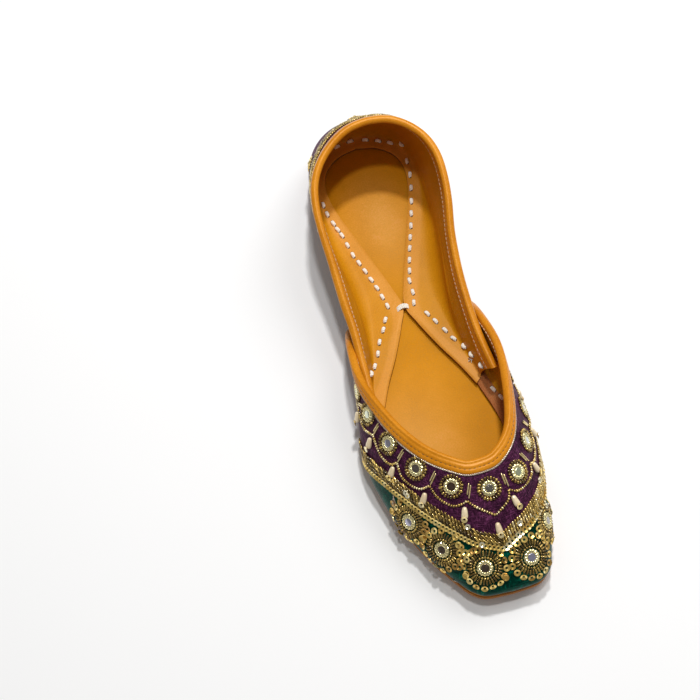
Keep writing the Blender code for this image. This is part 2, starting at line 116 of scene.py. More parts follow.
def smoothCurve(rows, count):
    # Catmull-Rom curve through the rows, with as many samples between every two of them
    rows = np.asarray(rows, float)
    padded = np.vstack([2 * rows[0] - rows[1], rows, 2 * rows[-1] - rows[-2]])
    place = np.linspace(0, len(rows) - 1, count)
    first = np.minimum(place.astype(int), len(rows) - 2)
    t = (place - first)[:, None]
    a, b, c, d = (padded[first + k] for k in range(4))
    return b + 0.5 * t * (c - a + t * (2 * a - 5 * b + 4 * c - d + t * (3 * (b - c) + d - a)))


def unit(vectors):
    return vectors / np.maximum(np.linalg.norm(vectors, axis=-1, keepdims=True), 1e-12)


def dot(a, b):
    return (a * b).sum(-1, keepdims=True)


def travelled(points):
    # length of a polyline up to each of its points
    return np.concatenate([[0], np.cumsum(np.linalg.norm(np.diff(points[:, :3], axis=0), axis=1))])


def byLength(points, shares):
    # rows read at shares of the polyline's length; columns past the third come along
    way = travelled(points)
    return np.column_stack([np.interp(shares, way / way[-1], column) for column in points.T])


def alongShoe(station):
    return shoe["length"] * (0.5 - station)


def toeLift(y):
    # the sole rises with the square of the way past the ball
    start = shoe["springFromShare"]
    rise = np.clip((0.5 - y / shoe["length"] - start) / (1 - start), 0, 1)
    return shoe["toeSpring"] * rise ** 2


def lifted(points):
    points = points.copy()
    points[..., 2] += toeLift(points[..., 1])
    return points


def halfOutline(side):
    # feather line from heel to toe; side is -1 for lateral and 1 for medial
    across = side * shoe["ballWidth"] * outlineRows[:, 1 if side < 0 else 2]
    return smoothCurve(np.column_stack([across, alongShoe(outlineRows[:, 0])]), 241)


def fullOutline(count):
    loop = np.vstack([halfOutline(1)[::-1], halfOutline(-1)[1:]])
    return byLength(loop, np.arange(count) / count)


def planNormals(points, closed):
    # to the right of the way that the line goes
    ahead = np.roll(points, -1, axis=0) - np.roll(points, 1, axis=0) if closed else np.gradient(
        points, axis=0)
    return unit(np.column_stack([ahead[:, 1], -ahead[:, 0]]))


def withHeight(plan, height):
    return np.column_stack([plan, np.broadcast_to(height, len(plan))])


def bezier(controls, shares):
    # Bezier curves of any degree side by side: every control holds one point for each rib
    order = len(controls) - 1
    weights = [math.comb(order, k) * shares ** k * (1 - shares) ** (order - k)
               for k in range(order + 1)]
    return sum(w[None, :, None] * c[:, None, :] for w, c in zip(weights, controls))


def ribCurves(flap, feather, belly, crown, top, corner, counts):
    # straight flap, a quadratic turn at the feather line, then the wall by way of belly and crown
    corner = np.reshape(corner, (-1, 1))
    turnStart = feather + unit(flap - feather) * corner
    turnEnd = feather + unit(belly - feather) * corner
    flat, turn, wall = (np.linspace(0, 1, n + 1) for n in counts)
    wallControls = [turnEnd, belly, top] if crown is None else [turnEnd, belly, crown, top]
    return np.concatenate([
        bezier([flap, turnStart], flat)[:, :-1],
        bezier([turnStart, feather, turnEnd], turn)[:, :-1],
        bezier(wallControls, wall)], axis=1)


def featherOf(side, edge):
    # feather line and the way out from it, at shares of half the outline
    outline = halfOutline(side)
    table = np.column_stack([outline, np.zeros(len(outline)), -side * planNormals(outline, False)])
    return byLength(outline, edge), unit(byLength(table, edge)[:, 3:])


def quarterSurface(ribs, counts):
    # outer face of the quarter from the medial front end round the heel, and each rib's place:
    # a share of half the outline from the heel, minus on the medial side
    rows = smoothCurve(quarterRows, (ribs + 1) // 2)
    (edge, flapAcross, flapAlong, topCentre, topAcross, topAlong, topHeight, corner, fullness,
     lap) = rows.T
    lap = np.clip(lap, 0, 1)
    halves = []
    for side in (-1, 1):
        feather, outward = featherOf(side, edge)
        feather = feather - outward * (quarterCut["lapInset"] * lap)[:, None]
        height = shoe["upperFloor"] + quarterCut["lapLift"] * lap
        across = np.maximum(flapAcross * shoe["ballWidth"], quarterCut["tieGap"] / 2 * (edge > 0))
        flap = np.column_stack([side * across, alongShoe(flapAlong)])
        top = np.column_stack([shoe["ballWidth"] * (topCentre + side * topAcross),
                               alongShoe(topAlong)])
        rim = shoe["heelHeight"] * topHeight
        belly = feather + outward * quarterCut["bulge"] * fullness[:, None]
        halves.append(ribCurves(
            withHeight(flap, height), withHeight(feather, height),
            withHeight(belly, height + quarterCut["bellyShare"] * (rim - height)), None,
            withHeight(top, rim), quarterCut["corner"] * corner, counts))
    return (lifted(np.concatenate([halves[1][::-1], halves[0][1:]])),
            np.concatenate([-edge[::-1], edge[1:]]))


def vampSurface(ribs, counts):
    # outer face of the vamp from the lateral wing round the toe to the medial wing
    rows = smoothCurve(vampRows, (ribs + 1) // 2)
    edge, height = rows[:, 0], shoe["throatHeight"] * rows[:, 7]
    floor = shoe["upperFloor"]
    halves = []
    for side, first in ((-1, 1), (1, 4)):
        across, along, fullness = rows[:, first:first + 3].T
        feather, outward = featherOf(side, edge)
        top = np.column_stack([side * shoe["ballWidth"] * across, alongShoe(along)])
        belly = feather + outward * vampCut["bulge"] * fullness[:, None]
        crown = top + vampCut["crownReachShare"] * (feather - top)
        halves.append(ribCurves(
            withHeight(feather - outward * vampCut["margin"], floor), withHeight(feather, floor),
            withHeight(belly, floor + vampCut["bellyShare"] * (height - floor)),
            withHeight(crown, floor + vampCut["crownShare"] * (height - floor)),
            withHeight(top, height), np.full(len(edge), vampCut["corner"]), counts))
    around = 1 - edge
    return (lifted(np.concatenate([halves[0][::-1], halves[1][1:]])),
            np.concatenate([-around[::-1], around[1:]]))


def gridNormals(grid):
    return unit(np.cross(np.gradient(grid, axis=0), np.gradient(grid, axis=1)))


def evened(grid, reach, columns):
    # ribs averaged with their neighbours: not at all up to the first column named, wholly from the
    # second on, so that the upper edge runs in one soft line
    weights = np.hanning(2 * reach + 3)[1:-1]
    weights /= weights.sum()
    padded = np.concatenate([2 * grid[:1] - grid[reach:0:-1], grid,
                             2 * grid[-1:] - grid[-2:-reach - 2:-1]])
    mean = sum(w * padded[k:k + len(grid)] for k, w in enumerate(weights))
    share = np.interp(np.arange(grid.shape[1]), columns, [0, 1])[None, :, None]
    return grid + (mean - grid) * share


def creased(grid, around, creases):
    # Soft folds pushed along the normals. A crease is a trough with a ridge on its upper side: place
    # around and down the wall, half length and width as shares, slant, and depth in metres.
    down = np.linspace(1, 0, grid.shape[1])[None, :]
    place = np.asarray(around)[:, None]
    depth = np.zeros(grid.shape[:2])
    for at, below, length, width, slant, deep in creases:
        along = (place - at) * math.cos(slant) + (down - below) * math.sin(slant)
        across = (down - below) * math.cos(slant) - (place - at) * math.sin(slant)
        fade = np.exp(-(along / length) ** 2)
        depth += deep * fade * (0.6 * np.exp(-((across + 1.5 * width) / width) ** 2)
                                - np.exp(-(across / width) ** 2))
    return grid + gridNormals(grid) * depth[..., None]


def readRibs(grid, distance, values=None):
    # values on every rib at distances under its top edge, by straight interpolation
    values = (grid if values is None else values)[:, ::-1]
    steps = np.linalg.norm(np.diff(grid[:, ::-1], axis=1), axis=2)
    way = np.cumsum(np.column_stack([np.zeros(len(grid)), steps]), axis=1)
    distance = np.broadcast_to(distance, (len(grid), np.shape(distance)[-1]))
    last = (way[:, None, :] < distance[..., None]).sum(2).clip(1, grid.shape[1] - 1)
    low, high = np.take_along_axis(way, last - 1, 1), np.take_along_axis(way, last, 1)
    share = ((distance - low) / (high - low)).clip(0, 1)[..., None]
    return (np.take_along_axis(values, last[..., None] - 1, 1) * (1 - share)
            + np.take_along_axis(values, last[..., None], 1) * share)


def ribLengths(grid):
    return np.linalg.norm(np.diff(grid, axis=1), axis=2).sum(1)


# Charts: a place on the leather is found by around and below

def chartOf(grid, around, samples=161):
    lengths = ribLengths(grid)
    shares = np.linspace(0, 1, samples)
    points = readRibs(grid, lengths[:, None] * shares)
    return {"points": points, "out": -gridNormals(points), "around": around, "lengths": lengths,
            "across": np.gradient(points, around, axis=0), "down": np.gradient(points, shares, axis=1)}


def placeOn(chart, around, below):
    # point, way out, and the two derivatives of the point, between four neighbours of the chart
    rows, columns = chart["points"].shape[:2]
    row = np.interp(around, chart["around"], np.arange(rows))
    column = np.clip(below, 0, 1) * (columns - 1)
    i = np.minimum(row.astype(int), rows - 2)
    j = np.minimum(column.astype(int), columns - 2)
    u, v = (row - i)[..., None], (column - j)[..., None]
    found = []
    for name in ("points", "out", "across", "down"):
        value = chart[name]
        found.append((value[i, j] * (1 - u) + value[i + 1, j] * u) * (1 - v)
                     + (value[i, j + 1] * (1 - u) + value[i + 1, j + 1] * u) * v)
    found[1] = unit(found[1])
    return found


def headingOn(chart, around, below, angle):
    # direction at an angle from straight down the rib, turning towards greater around
    across, down = placeOn(chart, around, below)[2:]
    ahead = unit(down)
    side = unit(across - ahead * dot(across, ahead))
    angle = np.broadcast_to(angle, np.shape(around))[..., None]
    return ahead * np.cos(angle) + side * np.sin(angle)


def walk(chart, around, below, heading, distance, steps=6):
    # straight ahead over the leather for a distance in metres
    around, below = np.array(around, float), np.array(below, float)
    pace = np.broadcast_to(distance, around.shape)[..., None] / steps
    for _ in range(steps):
        out, across, down = placeOn(chart, around, below)[1:]
        heading = unit(heading - out * dot(heading, out))
        aa, bb, ab = dot(across, across), dot(down, down), dot(across, down)
        ha, hb = dot(heading, across), dot(heading, down)
        around = around + (pace * (ha * bb - hb * ab) / (aa * bb - ab * ab))[..., 0]
        below = below + (pace * (hb * aa - ha * ab) / (aa * bb - ab * ab))[..., 0]
    return around, below


def threadOn(chart, rows, pitch, samples=24):
    # evenly spaced places along a smooth line through chart rows, with the way the line goes
    line = smoothCurve(rows, samples * (len(rows) - 1) + 1)
    points = placeOn(chart, line[:, 0], line[:, 1])[0]
    count = max(int(round(travelled(points)[-1] / pitch)), 1)
    table = np.column_stack([points, line, np.gradient(points, axis=0)])
    found = byLength(table, (np.arange(count) + 0.5) / count)
    return found[:, 3], found[:, 4], unit(found[:, 5:8])


def framesOn(chart, around, below, heading, lift):
    # centres over the leather and their axes: x ahead, z out
    point, out = placeOn(chart, around, below)[:2]
    ahead = unit(heading - out * dot(heading, out))
    centres = point + out * np.broadcast_to(lift, np.shape(around))[..., None]
    return centres, np.stack([ahead, np.cross(out, ahead), out], axis=1)


def shows(chart, around, below):
    # true where a bead sits above the feather line
    point = placeOn(chart, around, below)[0]
    return point[..., 2] - toeLift(point[..., 1]) > shoe["upperFloor"] + 1.3 * mm


# Meshes

def quadsOf(rows, columns, wrapRows=False, wrapColumns=False):
    i = np.arange(rows if wrapRows else rows - 1)[:, None]
    j = np.arange(columns if wrapColumns else columns - 1)[None, :]
    ni, nj = (i + 1) % rows, (j + 1) % columns
    return np.stack([i * columns + j, ni * columns + j, ni * columns + nj, i * columns + nj],
                    axis=-1).reshape(-1, 4)


def outwards(points, faces):
    # a closed mesh whose volume counts below nothing is inside out, so its faces turn round
    a, b, c, d = (points[faces[:, k]] for k in range(4))
    volume = (a * np.cross(b, c)).sum() + (a * np.cross(c, d)).sum()
    return faces if volume > 0 else faces[:, ::-1]


def newPiece(name, points, faces, materials, slotName, replaced=(), uv=None, tint=None, zone=None,
             sharp=50):
    # one object from arrays; uv and tint are given per point, zone picks a material per face
    points = np.asarray(points, float)
    faces = outwards(points, np.asarray(faces))
    mesh = bpy.data.meshes.new(name)
    mesh.vertices.add(len(points))
    mesh.vertices.foreach_set("co", points.ravel())
    mesh.loops.add(faces.size)
    mesh.loops.foreach_set("vertex_index", faces.ravel())
    mesh.polygons.add(len(faces))
    mesh.polygons.foreach_set("loop_start", np.arange(len(faces)) * 4)
    mesh.update(calc_edges=True)
    if uv is not None:
        layer = mesh.uv_layers.new(name="cut")
        layer.data.foreach_set("uv", np.asarray(uv)[faces.ravel()].ravel())
    if tint is not None:
        attribute = mesh.attributes.new("tint", "FLOAT", "POINT")
        attribute.data.foreach_set("value", np.asarray(tint, np.float32))
    for material in materials:
        mesh.materials.append(material)
    if zone is not None:
        mesh.polygons.foreach_set("material_index", np.asarray(zone, np.int32))
    mesh.shade_smooth()
    mesh.set_sharp_from_angle(angle=math.radians(sharp))
    piece = bpy.data.objects.new(name, mesh)
    bpy.context.scene.collection.objects.link(piece)
    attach(piece, "root")
    if replaced:
        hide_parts(*replaced)


def shellOf(outer, inner):
    # closed wall between two grids of the same size
    rows, columns = outer.shape[:2]
    size = rows * columns
    near = quadsOf(rows, columns)
    border = np.concatenate([
        np.arange(rows) * columns, (rows - 1) * columns + np.arange(1, columns),
        np.arange(rows - 2, -1, -1) * columns + columns - 1, np.arange(columns - 2, 0, -1)])
    after = np.roll(border, -1)
    rim = np.stack([border, border + size, after + size, after], axis=1)
    return np.vstack([outer.reshape(-1, 3), inner.reshape(-1, 3)]), np.vstack(
        [near, near[:, ::-1] + size, rim])


def ballOf(cuts, power=2.0, taper=0.0):
    # a cube's faces cut in squares and pushed out to a sphere, or towards a cylinder by the power
    t = np.tan(np.linspace(-1, 1, cuts + 1) * math.pi / 4)
    a, b = np.meshgrid(t, t, indexing="ij")
    sides, faces = [], []
    for axis in range(3):
        for sign in (-1, 1):
            side = np.zeros((cuts + 1, cuts + 1, 3))
            side[..., axis] = sign
            side[..., (axis + 1) % 3] = a
            side[..., (axis + 2) % 3] = b * sign
            faces.append(quadsOf(cuts + 1, cuts + 1) + len(sides) * (cuts + 1) ** 2)
            sides.append(side.reshape(-1, 3))
    points, index = np.unique(np.round(np.vstack(sides), 6), axis=0, return_inverse=True)
    points = unit(points)
    radial = np.linalg.norm(points[:, 1:], axis=1)
    points /= ((radial ** power + np.abs(points[:, 0]) ** power) ** (1 / power))[:, None]
    points[:, 1:] *= (1 + taper * points[:, :1])
    return points, index.ravel()[np.vstack(faces)]


def ringOf(profile, sides, flutes=0, wave=0.0, lift=0.0):
    # closed profile of radius and height turned round z; flutes push the rim in and out and the
    # face between its edges up and down
    profile = np.asarray(profile, float)
    turn = np.arange(sides) * 2 * math.pi / sides
    rim = np.clip((profile[:, 0] / profile[:, 0].max() - 0.8) / 0.2, 0, 1)
    face = np.clip((profile[:, 1] - 0.05) / 0.3, 0, 1)
    radius = profile[None, :, 0] * (1 + wave * np.cos(flutes * turn)[:, None] * rim[None, :])
    height = profile[None, :, 1] + lift * np.cos(flutes * turn)[:, None] * face[None, :]
    points = np.stack([radius * np.cos(turn)[:, None], radius * np.sin(turn)[:, None], height], -1)
    return points.reshape(-1, 3), quadsOf(sides, len(profile), True, True)


def tubeAlong(centres, out, radius, sides):
    # round tube on a line; its flat ends are strips of quads
    ahead = unit(np.gradient(centres, axis=0))
    side = unit(np.cross(ahead, out))
    up = np.cross(side, ahead)
    turn = np.arange(sides) * 2 * math.pi / sides
    radius = np.broadcast_to(radius, len(centres))[:, None, None]
    rings = centres[:, None] + radius * (up[:, None] * np.cos(turn)[None, :, None]
                                         + side[:, None] * np.sin(turn)[None, :, None])
    k = np.arange(sides // 2 - 1)
    cap = np.stack([k, k + 1, sides - 2 - k, sides - 1 - k], axis=1)
    return rings.reshape(-1, 3), np.vstack([quadsOf(len(centres), sides, False, True), cap[:, ::-1],
                                            cap + (len(centres) - 1) * sides])


def twistedThread(points, out, radius, plies, pitch, sides=6):
    # plies wound round a line, each a tube on its own helix
    way = travelled(points)
    side = unit(np.cross(unit(np.gradient(points, axis=0)), out))
    parts = []
    for ply in range(plies):
        turn = (2 * math.pi * (way / pitch + ply / plies))[:, None]
        centres = points + radius * 0.5 * (out * np.cos(turn) + side * np.sin(turn))
        parts.append(tubeAlong(centres, out, radius * 0.56, sides))
    return joined(parts)


def joined(parts):
    offsets = np.cumsum([0] + [len(part[0]) for part in parts[:-1]])
    return (np.vstack([part[0] for part in parts]),
            np.vstack([part[1] + offset for part, offset in zip(parts, offsets)]))


def strew(base, centres, axes, sizes):
    # copies of a base shape: sizes along its x, y and z, axes as rows
    points, faces = base
    sizes = np.broadcast_to(np.asarray(sizes, float), (len(centres), 3))
    placed = centres[:, None] + np.einsum("npk,nkj->npj", points[None] * sizes[:, None], axes)
    offsets = np.arange(len(centres))[:, None, None] * len(points)
    return placed.reshape(-1, 3), (faces[None] + offsets).reshape(-1, 4)


def tilted(axes, angle, about):
    # axes turned about their own x, y or z by an angle for each
    turned = axes.copy()
    a, b = (about + 1) % 3, (about + 2) % 3
    cosine, sine = np.cos(angle)[:, None], np.sin(angle)[:, None]
    turned[:, a] = axes[:, a] * cosine + axes[:, b] * sine
    turned[:, b] = axes[:, b] * cosine - axes[:, a] * sine
    return turned


def sewnOn(parts, name, finish, slotName="gold_beads", replaced=()):
    # joins (points, faces, tint per copy) into one piece of small hardware
    points, faces = joined([(part[0], part[1]) for part in parts])
    tint = np.concatenate([np.repeat(part[2], len(part[0]) // len(part[2])) for part in parts])
    newPiece(name, points, faces, [finish], slotName, replaced, tint=tint)


# Finishes

def grow(tree, kind, values=None, **settings):
    # a node with its settings; a value is a constant or another node's output
    made = tree.nodes.new(kind)
    for key, value in settings.items():
        setattr(made, key, value)
    for key, value in (values or {}).items():
        if isinstance(value, bpy.types.NodeSocket):
            tree.links.new(value, made.inputs[key])
        else:
            made.inputs[key].default_value = value
    return made


def ramp(tree, value, stops):
    made = grow(tree, "ShaderNodeValToRGB", {"Fac": value})
    while len(made.color_ramp.elements) < len(stops):
        made.color_ramp.elements.new(0.5)
    for element, (place, colour) in zip(made.color_ramp.elements, stops):
        element.position = place
        element.color = (*colour, 1)
    return made.outputs["Color"]


def finishOf(name, **sockets):
    material = bpy.data.materials.new(name)
    material.use_nodes = True
    shader = material.node_tree.nodes["Principled BSDF"]
    for key, value in sockets.items():
        shader.inputs[key.replace("_", " ")].default_value = value
    return material, material.node_tree, shader


def bumped(tree, shader, layers):
    # bumps on top of each other: height, strength, distance
    last = None
    for height, strength, distance in layers:
        values = {"Height": height, "Strength": strength, "Distance": distance}
        if last is not None:
            values["Normal"] = last
        last = grow(tree, "ShaderNodeBump", values).outputs["Normal"]
    tree.links.new(last, shader.inputs["Normal"])


def objectPlace(tree):
    return grow(tree, "ShaderNodeTexCoord").outputs["Object"]


def noise(tree, vector, scale, detail, rough=0.5):
    return grow(tree, "ShaderNodeTexNoise", {"Vector": vector, "Scale": scale, "Detail": detail,
                                             "Roughness": rough}).outputs["Fac"]


def glossBy(tree, shader, value, low, high, start=0.0, end=1.0):
    # roughness that follows a value
    gloss = grow(tree, "ShaderNodeMapRange", {"Value": value, "From Min": start, "From Max": end,
                                              "To Min": low, "To Max": high})
    tree.links.new(gloss.outputs["Result"], shader.inputs["Roughness"])


def leatherFinish(name, dark, middle, light, rough, grain, coat, fibre=0.0, strip=None, shine=0.40):
    # strip multiplies the colour where the piece's tint is 1, as on the pressed edge of a flap, and on
    # the insole as a painted highlight
    material, tree, shader = finishOf(name, Coat_Weight=coat, Coat_Roughness=0.26,
                                      Specular_IOR_Level=shine, Specular_Tint=(1.0, 0.60, 0.22, 1))
    place = objectPlace(tree)
    cloud = noise(tree, place, 38.0, 5.0, 0.6)
    fine = noise(tree, place, 1500.0, 4.0, 0.65)
    pores = grow(tree, "ShaderNodeTexVoronoi", {"Vector": place, "Scale": 1150.0},
                 feature="F1").outputs["Distance"]
    calm = grow(tree, "ShaderNodeMath", {0: cloud, 1: 0.40}, operation="MULTIPLY").outputs[0]
    both = grow(tree, "ShaderNodeMath", {0: fine, 1: 0.45, 2: calm}, operation="MULTIPLY_ADD")
    colour = ramp(tree, both.outputs[0], [(0.27, dark), (0.43, middle), (0.60, light)])
    if strip:
        tint = grow(tree, "ShaderNodeAttribute", attribute_name="tint").outputs["Fac"]
        colour = grow(tree, "ShaderNodeMix", {0: tint, 6: colour, 7: (*strip, 1)}, data_type="RGBA",
                      blend_type="MULTIPLY").outputs[2]
    tree.links.new(colour, shader.inputs["Base Color"])
    glossBy(tree, shader, fine, rough - 0.07, rough + 0.09, 0.3, 0.7)
    layers = [(pores, grain, 0.00012), (fine, grain * 0.8, 0.00010), (cloud, 0.35, 0.0006)]
    if fibre:
        layers.append((noise(tree, place, 5200.0, 6.0, 0.8), fibre, 0.0004))
    bumped(tree, shader, layers)
    return material


def clothFinish(name, dark, middle, light, rough, threads, slub, sheen, sheenColour):
    # plain weave on the cut's own UV in metres: two sets of stretched noise
    material, tree, shader = finishOf(name, Sheen_Weight=sheen, Sheen_Roughness=0.35,
                                      Sheen_Tint=(*sheenColour, 1), Specular_IOR_Level=0.24,
                                      Specular_Tint=(*sheenColour, 1))
    cut = grow(tree, "ShaderNodeUVMap", uv_map="cut").outputs["UV"]
    sets = []
    for scale in ((threads * 0.16, threads, 1), (threads, threads * 0.16, 1)):
        stretched = grow(tree, "ShaderNodeMapping", {"Vector": cut, "Scale": scale})
        sets.append(noise(tree, stretched.outputs["Vector"], 1.0, 3.0, 0.7))
    weave = grow(tree, "ShaderNodeMath", {0: sets[0], 1: sets[1]}, operation="MAXIMUM").outputs[0]
    broad = grow(tree, "ShaderNodeMapping", {"Vector": cut, "Scale": (90, 260, 1)})
    slubs = noise(tree, broad.outputs["Vector"], 1.0, 4.0)
    mixed = grow(tree, "ShaderNodeMath", {0: slubs, 1: slub, 2: weave}, operation="MULTIPLY_ADD")
    colour = ramp(tree, mixed.outputs[0], [(0.45 + slub / 2, dark), (0.57 + slub / 2, middle),
                                           (0.70 + slub / 2, light)])
    tree.links.new(colour, shader.inputs["Base Color"])
    glossBy(tree, shader, weave, rough + 0.15, rough - 0.15)
    bumped(tree, shader, [(weave, 0.75, 0.00022), (slubs, 0.4, 0.0005)])
    return material


def metalFinish(name, stops, rough, metallic, coat, speckle):
    # small hardware: colour by each copy's own tint, with a fine drift over it
    material, tree, shader = finishOf(name, Metallic=metallic, Coat_Weight=coat,
                                      Coat_Roughness=0.08)
    tint = grow(tree, "ShaderNodeAttribute", attribute_name="tint").outputs["Fac"]
    drift = noise(tree, objectPlace(tree), 900.0, 3.0)
    centred = grow(tree, "ShaderNodeMath", {0: drift, 1: 0.5}, operation="SUBTRACT").outputs[0]
    mixed = grow(tree, "ShaderNodeMath", {0: centred, 1: speckle, 2: tint},
                 operation="MULTIPLY_ADD", use_clamp=True).outputs[0]
    tree.links.new(ramp(tree, mixed, stops), shader.inputs["Base Color"])
    glossBy(tree, shader, drift, rough - 0.08, rough + 0.12)
    bumped(tree, shader, [(drift, 0.25, 0.0001)])
    return material


def threadFinish(name, dark, light, rough):
    material, tree, shader = finishOf(name, Sheen_Weight=0.35, Sheen_Roughness=0.4)
    fibres = noise(tree, objectPlace(tree), 2600.0, 5.0, 0.7)
    tree.links.new(ramp(tree, fibres, [(0.35, dark), (0.65, light)]), shader.inputs["Base Color"])
    shader.inputs["Roughness"].default_value = rough
    bumped(tree, shader, [(fibres, 0.6, 0.00015)])
    return material


print("finishes")
liningLeather = leatherFinish("liningLeather", (0.41, 0.154, 0.002), (0.53, 0.212, 0.003),
                              (0.63, 0.270, 0.009), 0.44, 0.34, 0.02, strip=(1.16, 1.21, 9.0))
# insole leather; its strip lifts the colour under the tint into painted highlights
insoleLeather = leatherFinish("insoleLeather", (0.46, 0.174, 0.001), (0.565, 0.218, 0.001),
                              (0.66, 0.266, 0.003), 0.38, 0.18, 0.0, strip=(1.14, 1.36, 45.0),
                              shine=0.14)
bindingLeather = leatherFinish("bindingLeather", (0.46, 0.150, 0.004), (0.62, 0.222, 0.008),
                               (0.78, 0.330, 0.030), 0.32, 0.42, 0.10)
suedeLeather = leatherFinish("suedeLeather", (0.24, 0.070, 0.022), (0.42, 0.140, 0.045),
                             (0.60, 0.270, 0.110), 0.85, 0.8, 0.0, fibre=0.9)
# cut edge of the flaps, darkened as a painted shadow line along the flap's edge
shadedCutEdge = leatherFinish("shadedCutEdge", (0.14, 0.050, 0.012), (0.27, 0.105, 0.026),
                           (0.46, 0.200, 0.060), 0.80, 0.50, 0.0, fibre=0.6)
soleLeather = leatherFinish("soleLeather", (0.30, 0.110, 0.025), (0.46, 0.180, 0.045),
                            (0.60, 0.280, 0.090), 0.60, 0.55, 0.0, fibre=0.3)
purpleSilk = clothFinish("purpleSilk", (0.008, 0.002, 0.006), (0.050, 0.010, 0.033),
                         (0.200, 0.050, 0.140), 0.60, 2100.0, 0.22, 0.05, (0.85, 0.28, 0.60))
greenSatin = clothFinish("greenSatin", (0.000, 0.009, 0.005), (0.000, 0.034, 0.020),
                         (0.002, 0.140, 0.088), 0.30, 1500.0, 0.35, 0.03, (0.05, 0.85, 0.60))
beadMetal = metalFinish("beadMetal", [(0.0, (0.030, 0.018, 0.004)), (0.35, (0.22, 0.135, 0.024)),
                                      (0.7, (0.72, 0.50, 0.13)), (1.0, (1.00, 0.88, 0.54))],
                        0.24, 0.72, 0.6, 0.35)
sequinMetal = metalFinish("sequinMetal", [(0.0, (0.30, 0.14, 0.03)), (0.4, (0.74, 0.48, 0.11)),
                                          (0.75, (0.96, 0.72, 0.22)), (1.0, (1.00, 0.92, 0.66))],
                          0.22, 0.80, 0.4, 0.25)
bezelMetal = metalFinish("bezelMetal", [(0.0, (0.46, 0.33, 0.09)), (1.0, (0.97, 0.88, 0.48))],
                         0.18, 0.95, 0.3, 0.6)
# mirror glass: its colours, from dark brown through grey and lilac to pale green, are painted
# reflections of the surroundings
mirrorGlass = metalFinish("mirrorGlass", [(0.0, (0.09, 0.045, 0.02)), (0.35, (0.30, 0.28, 0.24)),
                                          (0.65, (0.52, 0.52, 0.72)), (1.0, (0.74, 0.80, 0.52))],
                          0.12, 0.9, 1.0, 0.3)
creamPearl = metalFinish("creamPearl", [(0.0, (0.56, 0.36, 0.15)), (1.0, (0.95, 0.80, 0.54))],
                         0.32, 0.15, 0.8, 0.7)
silverCordThread = metalFinish("silverCordThread", [(0.0, (0.35, 0.26, 0.18)),
                                                    (1.0, (0.88, 0.78, 0.66))], 0.30, 0.8, 0.2, 0.9)
whiteCotton = threadFinish("whiteCotton", (0.86, 0.80, 0.66), (1.0, 0.99, 0.95), 0.8)
# dark thread of the throat stitches, also the painted shade in the cotton stitches' needle holes
darkThreadAndHoleShade = threadFinish("darkThreadAndHoleShade", (0.030, 0.014, 0.004), (0.10, 0.050, 0.015), 0.7)
paleThread = threadFinish("paleThread", (0.55, 0.30, 0.14), (0.85, 0.62, 0.40), 0.7)


# Leather of the upper

upperMake = {
    "cloth": 0.45 * mm, "liningFrom": 0.50 * mm, "liningEnds": 16, "suedeColumns": 6,
    "flapSkive": 0.35 * mm, "flapSkiveReach": 1.2 * mm, "stripReach": (6.6 * mm, 8.4 * mm),
    # columns of the grids where the quarter's cloth starts, where a cut's width is read, and
    # where the lining rises from the flap to its full distance under the cloth
    "clothColumn": 11, "quarterCutColumn": 38, "vampCutColumn": 60, "raisedColumns": (5, 10),
    "raisedFrom": 0.05 * mm,
    # ribs, their steps in flap, turn and wall, and the reach and columns of their evening
    "vamp": (321, (6, 12, 60), 15, (24, 66)), "quarter": (301, (10, 14, 36), 5, (26, 40)),
    # around, down the wall, half length, half width, slant, depth
    "vampCreases": [
        (-0.30, 0.42, 0.05, 0.030, 0.5, 0.25 * mm), (0.27, 0.45, 0.05, 0.030, -0.5, 0.25 * mm),
        (-0.02, 0.80, 0.03, 0.020, 1.2, 0.16 * mm), (0.035, 0.81, 0.03, 0.018, -1.2, 0.16 * mm),
        (-0.06, 0.79, 0.03, 0.018, 1.0, 0.14 * mm)],
    "quarterCreases": [
        (-0.40, 0.45, 0.05, 0.05, 0.9, 0.35 * mm), (0.41, 0.45, 0.05, 0.05, -0.9, 0.35 * mm),
        (-0.20, 0.62, 0.06, 0.04, 0.2, 0.30 * mm), (0.19, 0.60, 0.07, 0.04, -0.2, 0.30 * mm),
        (0.02, 0.66, 0.05, 0.03, 0.1, 0.25 * mm)],
    # steps of the cloth down a rib, and the share past which no green is left
    "purpleSteps": 56, "greenSteps": 44, "greenEnds": 0.97,
    # the seam's ends past the bead band, and half the band's width
    "seamStart": [(-0.44, 1.0), (-0.41, 0.84)], "seamEnd": [(0.345, 0.84), (0.38, 1.0)],
    "halfBand": 3.75 * mm}


def leatherGrids(stem, surface):
    # outer face, its normals, inner face and chart of the vamp or of the quarter
    ribs, counts, reach, columns = upperMake[stem]
    outer, around = surface(ribs, counts)
    outer = creased(evened(outer, reach, columns), around, upperMake[stem + "Creases"])
    normal = gridNormals(outer)
    return outer, normal, outer - normal * shoe["wall"], chartOf(outer, around)


print("leather of the upper")
vampOuter, vampNormal, vampInner, vampChart = leatherGrids("vamp", vampSurface)
quarterOuter, quarterNormal, quarterInner, quarterChart = leatherGrids("quarter", quarterSurface)

# The seam between purple silk and green satin runs under the middle of the bead band
seamRows = np.vstack([upperMake["seamStart"], bandRows, upperMake["seamEnd"]])
seamShare = np.interp(vampChart["around"], *seamRows.T)
seamShare = np.minimum(seamShare + upperMake["halfBand"] / vampChart["lengths"], 1.0)


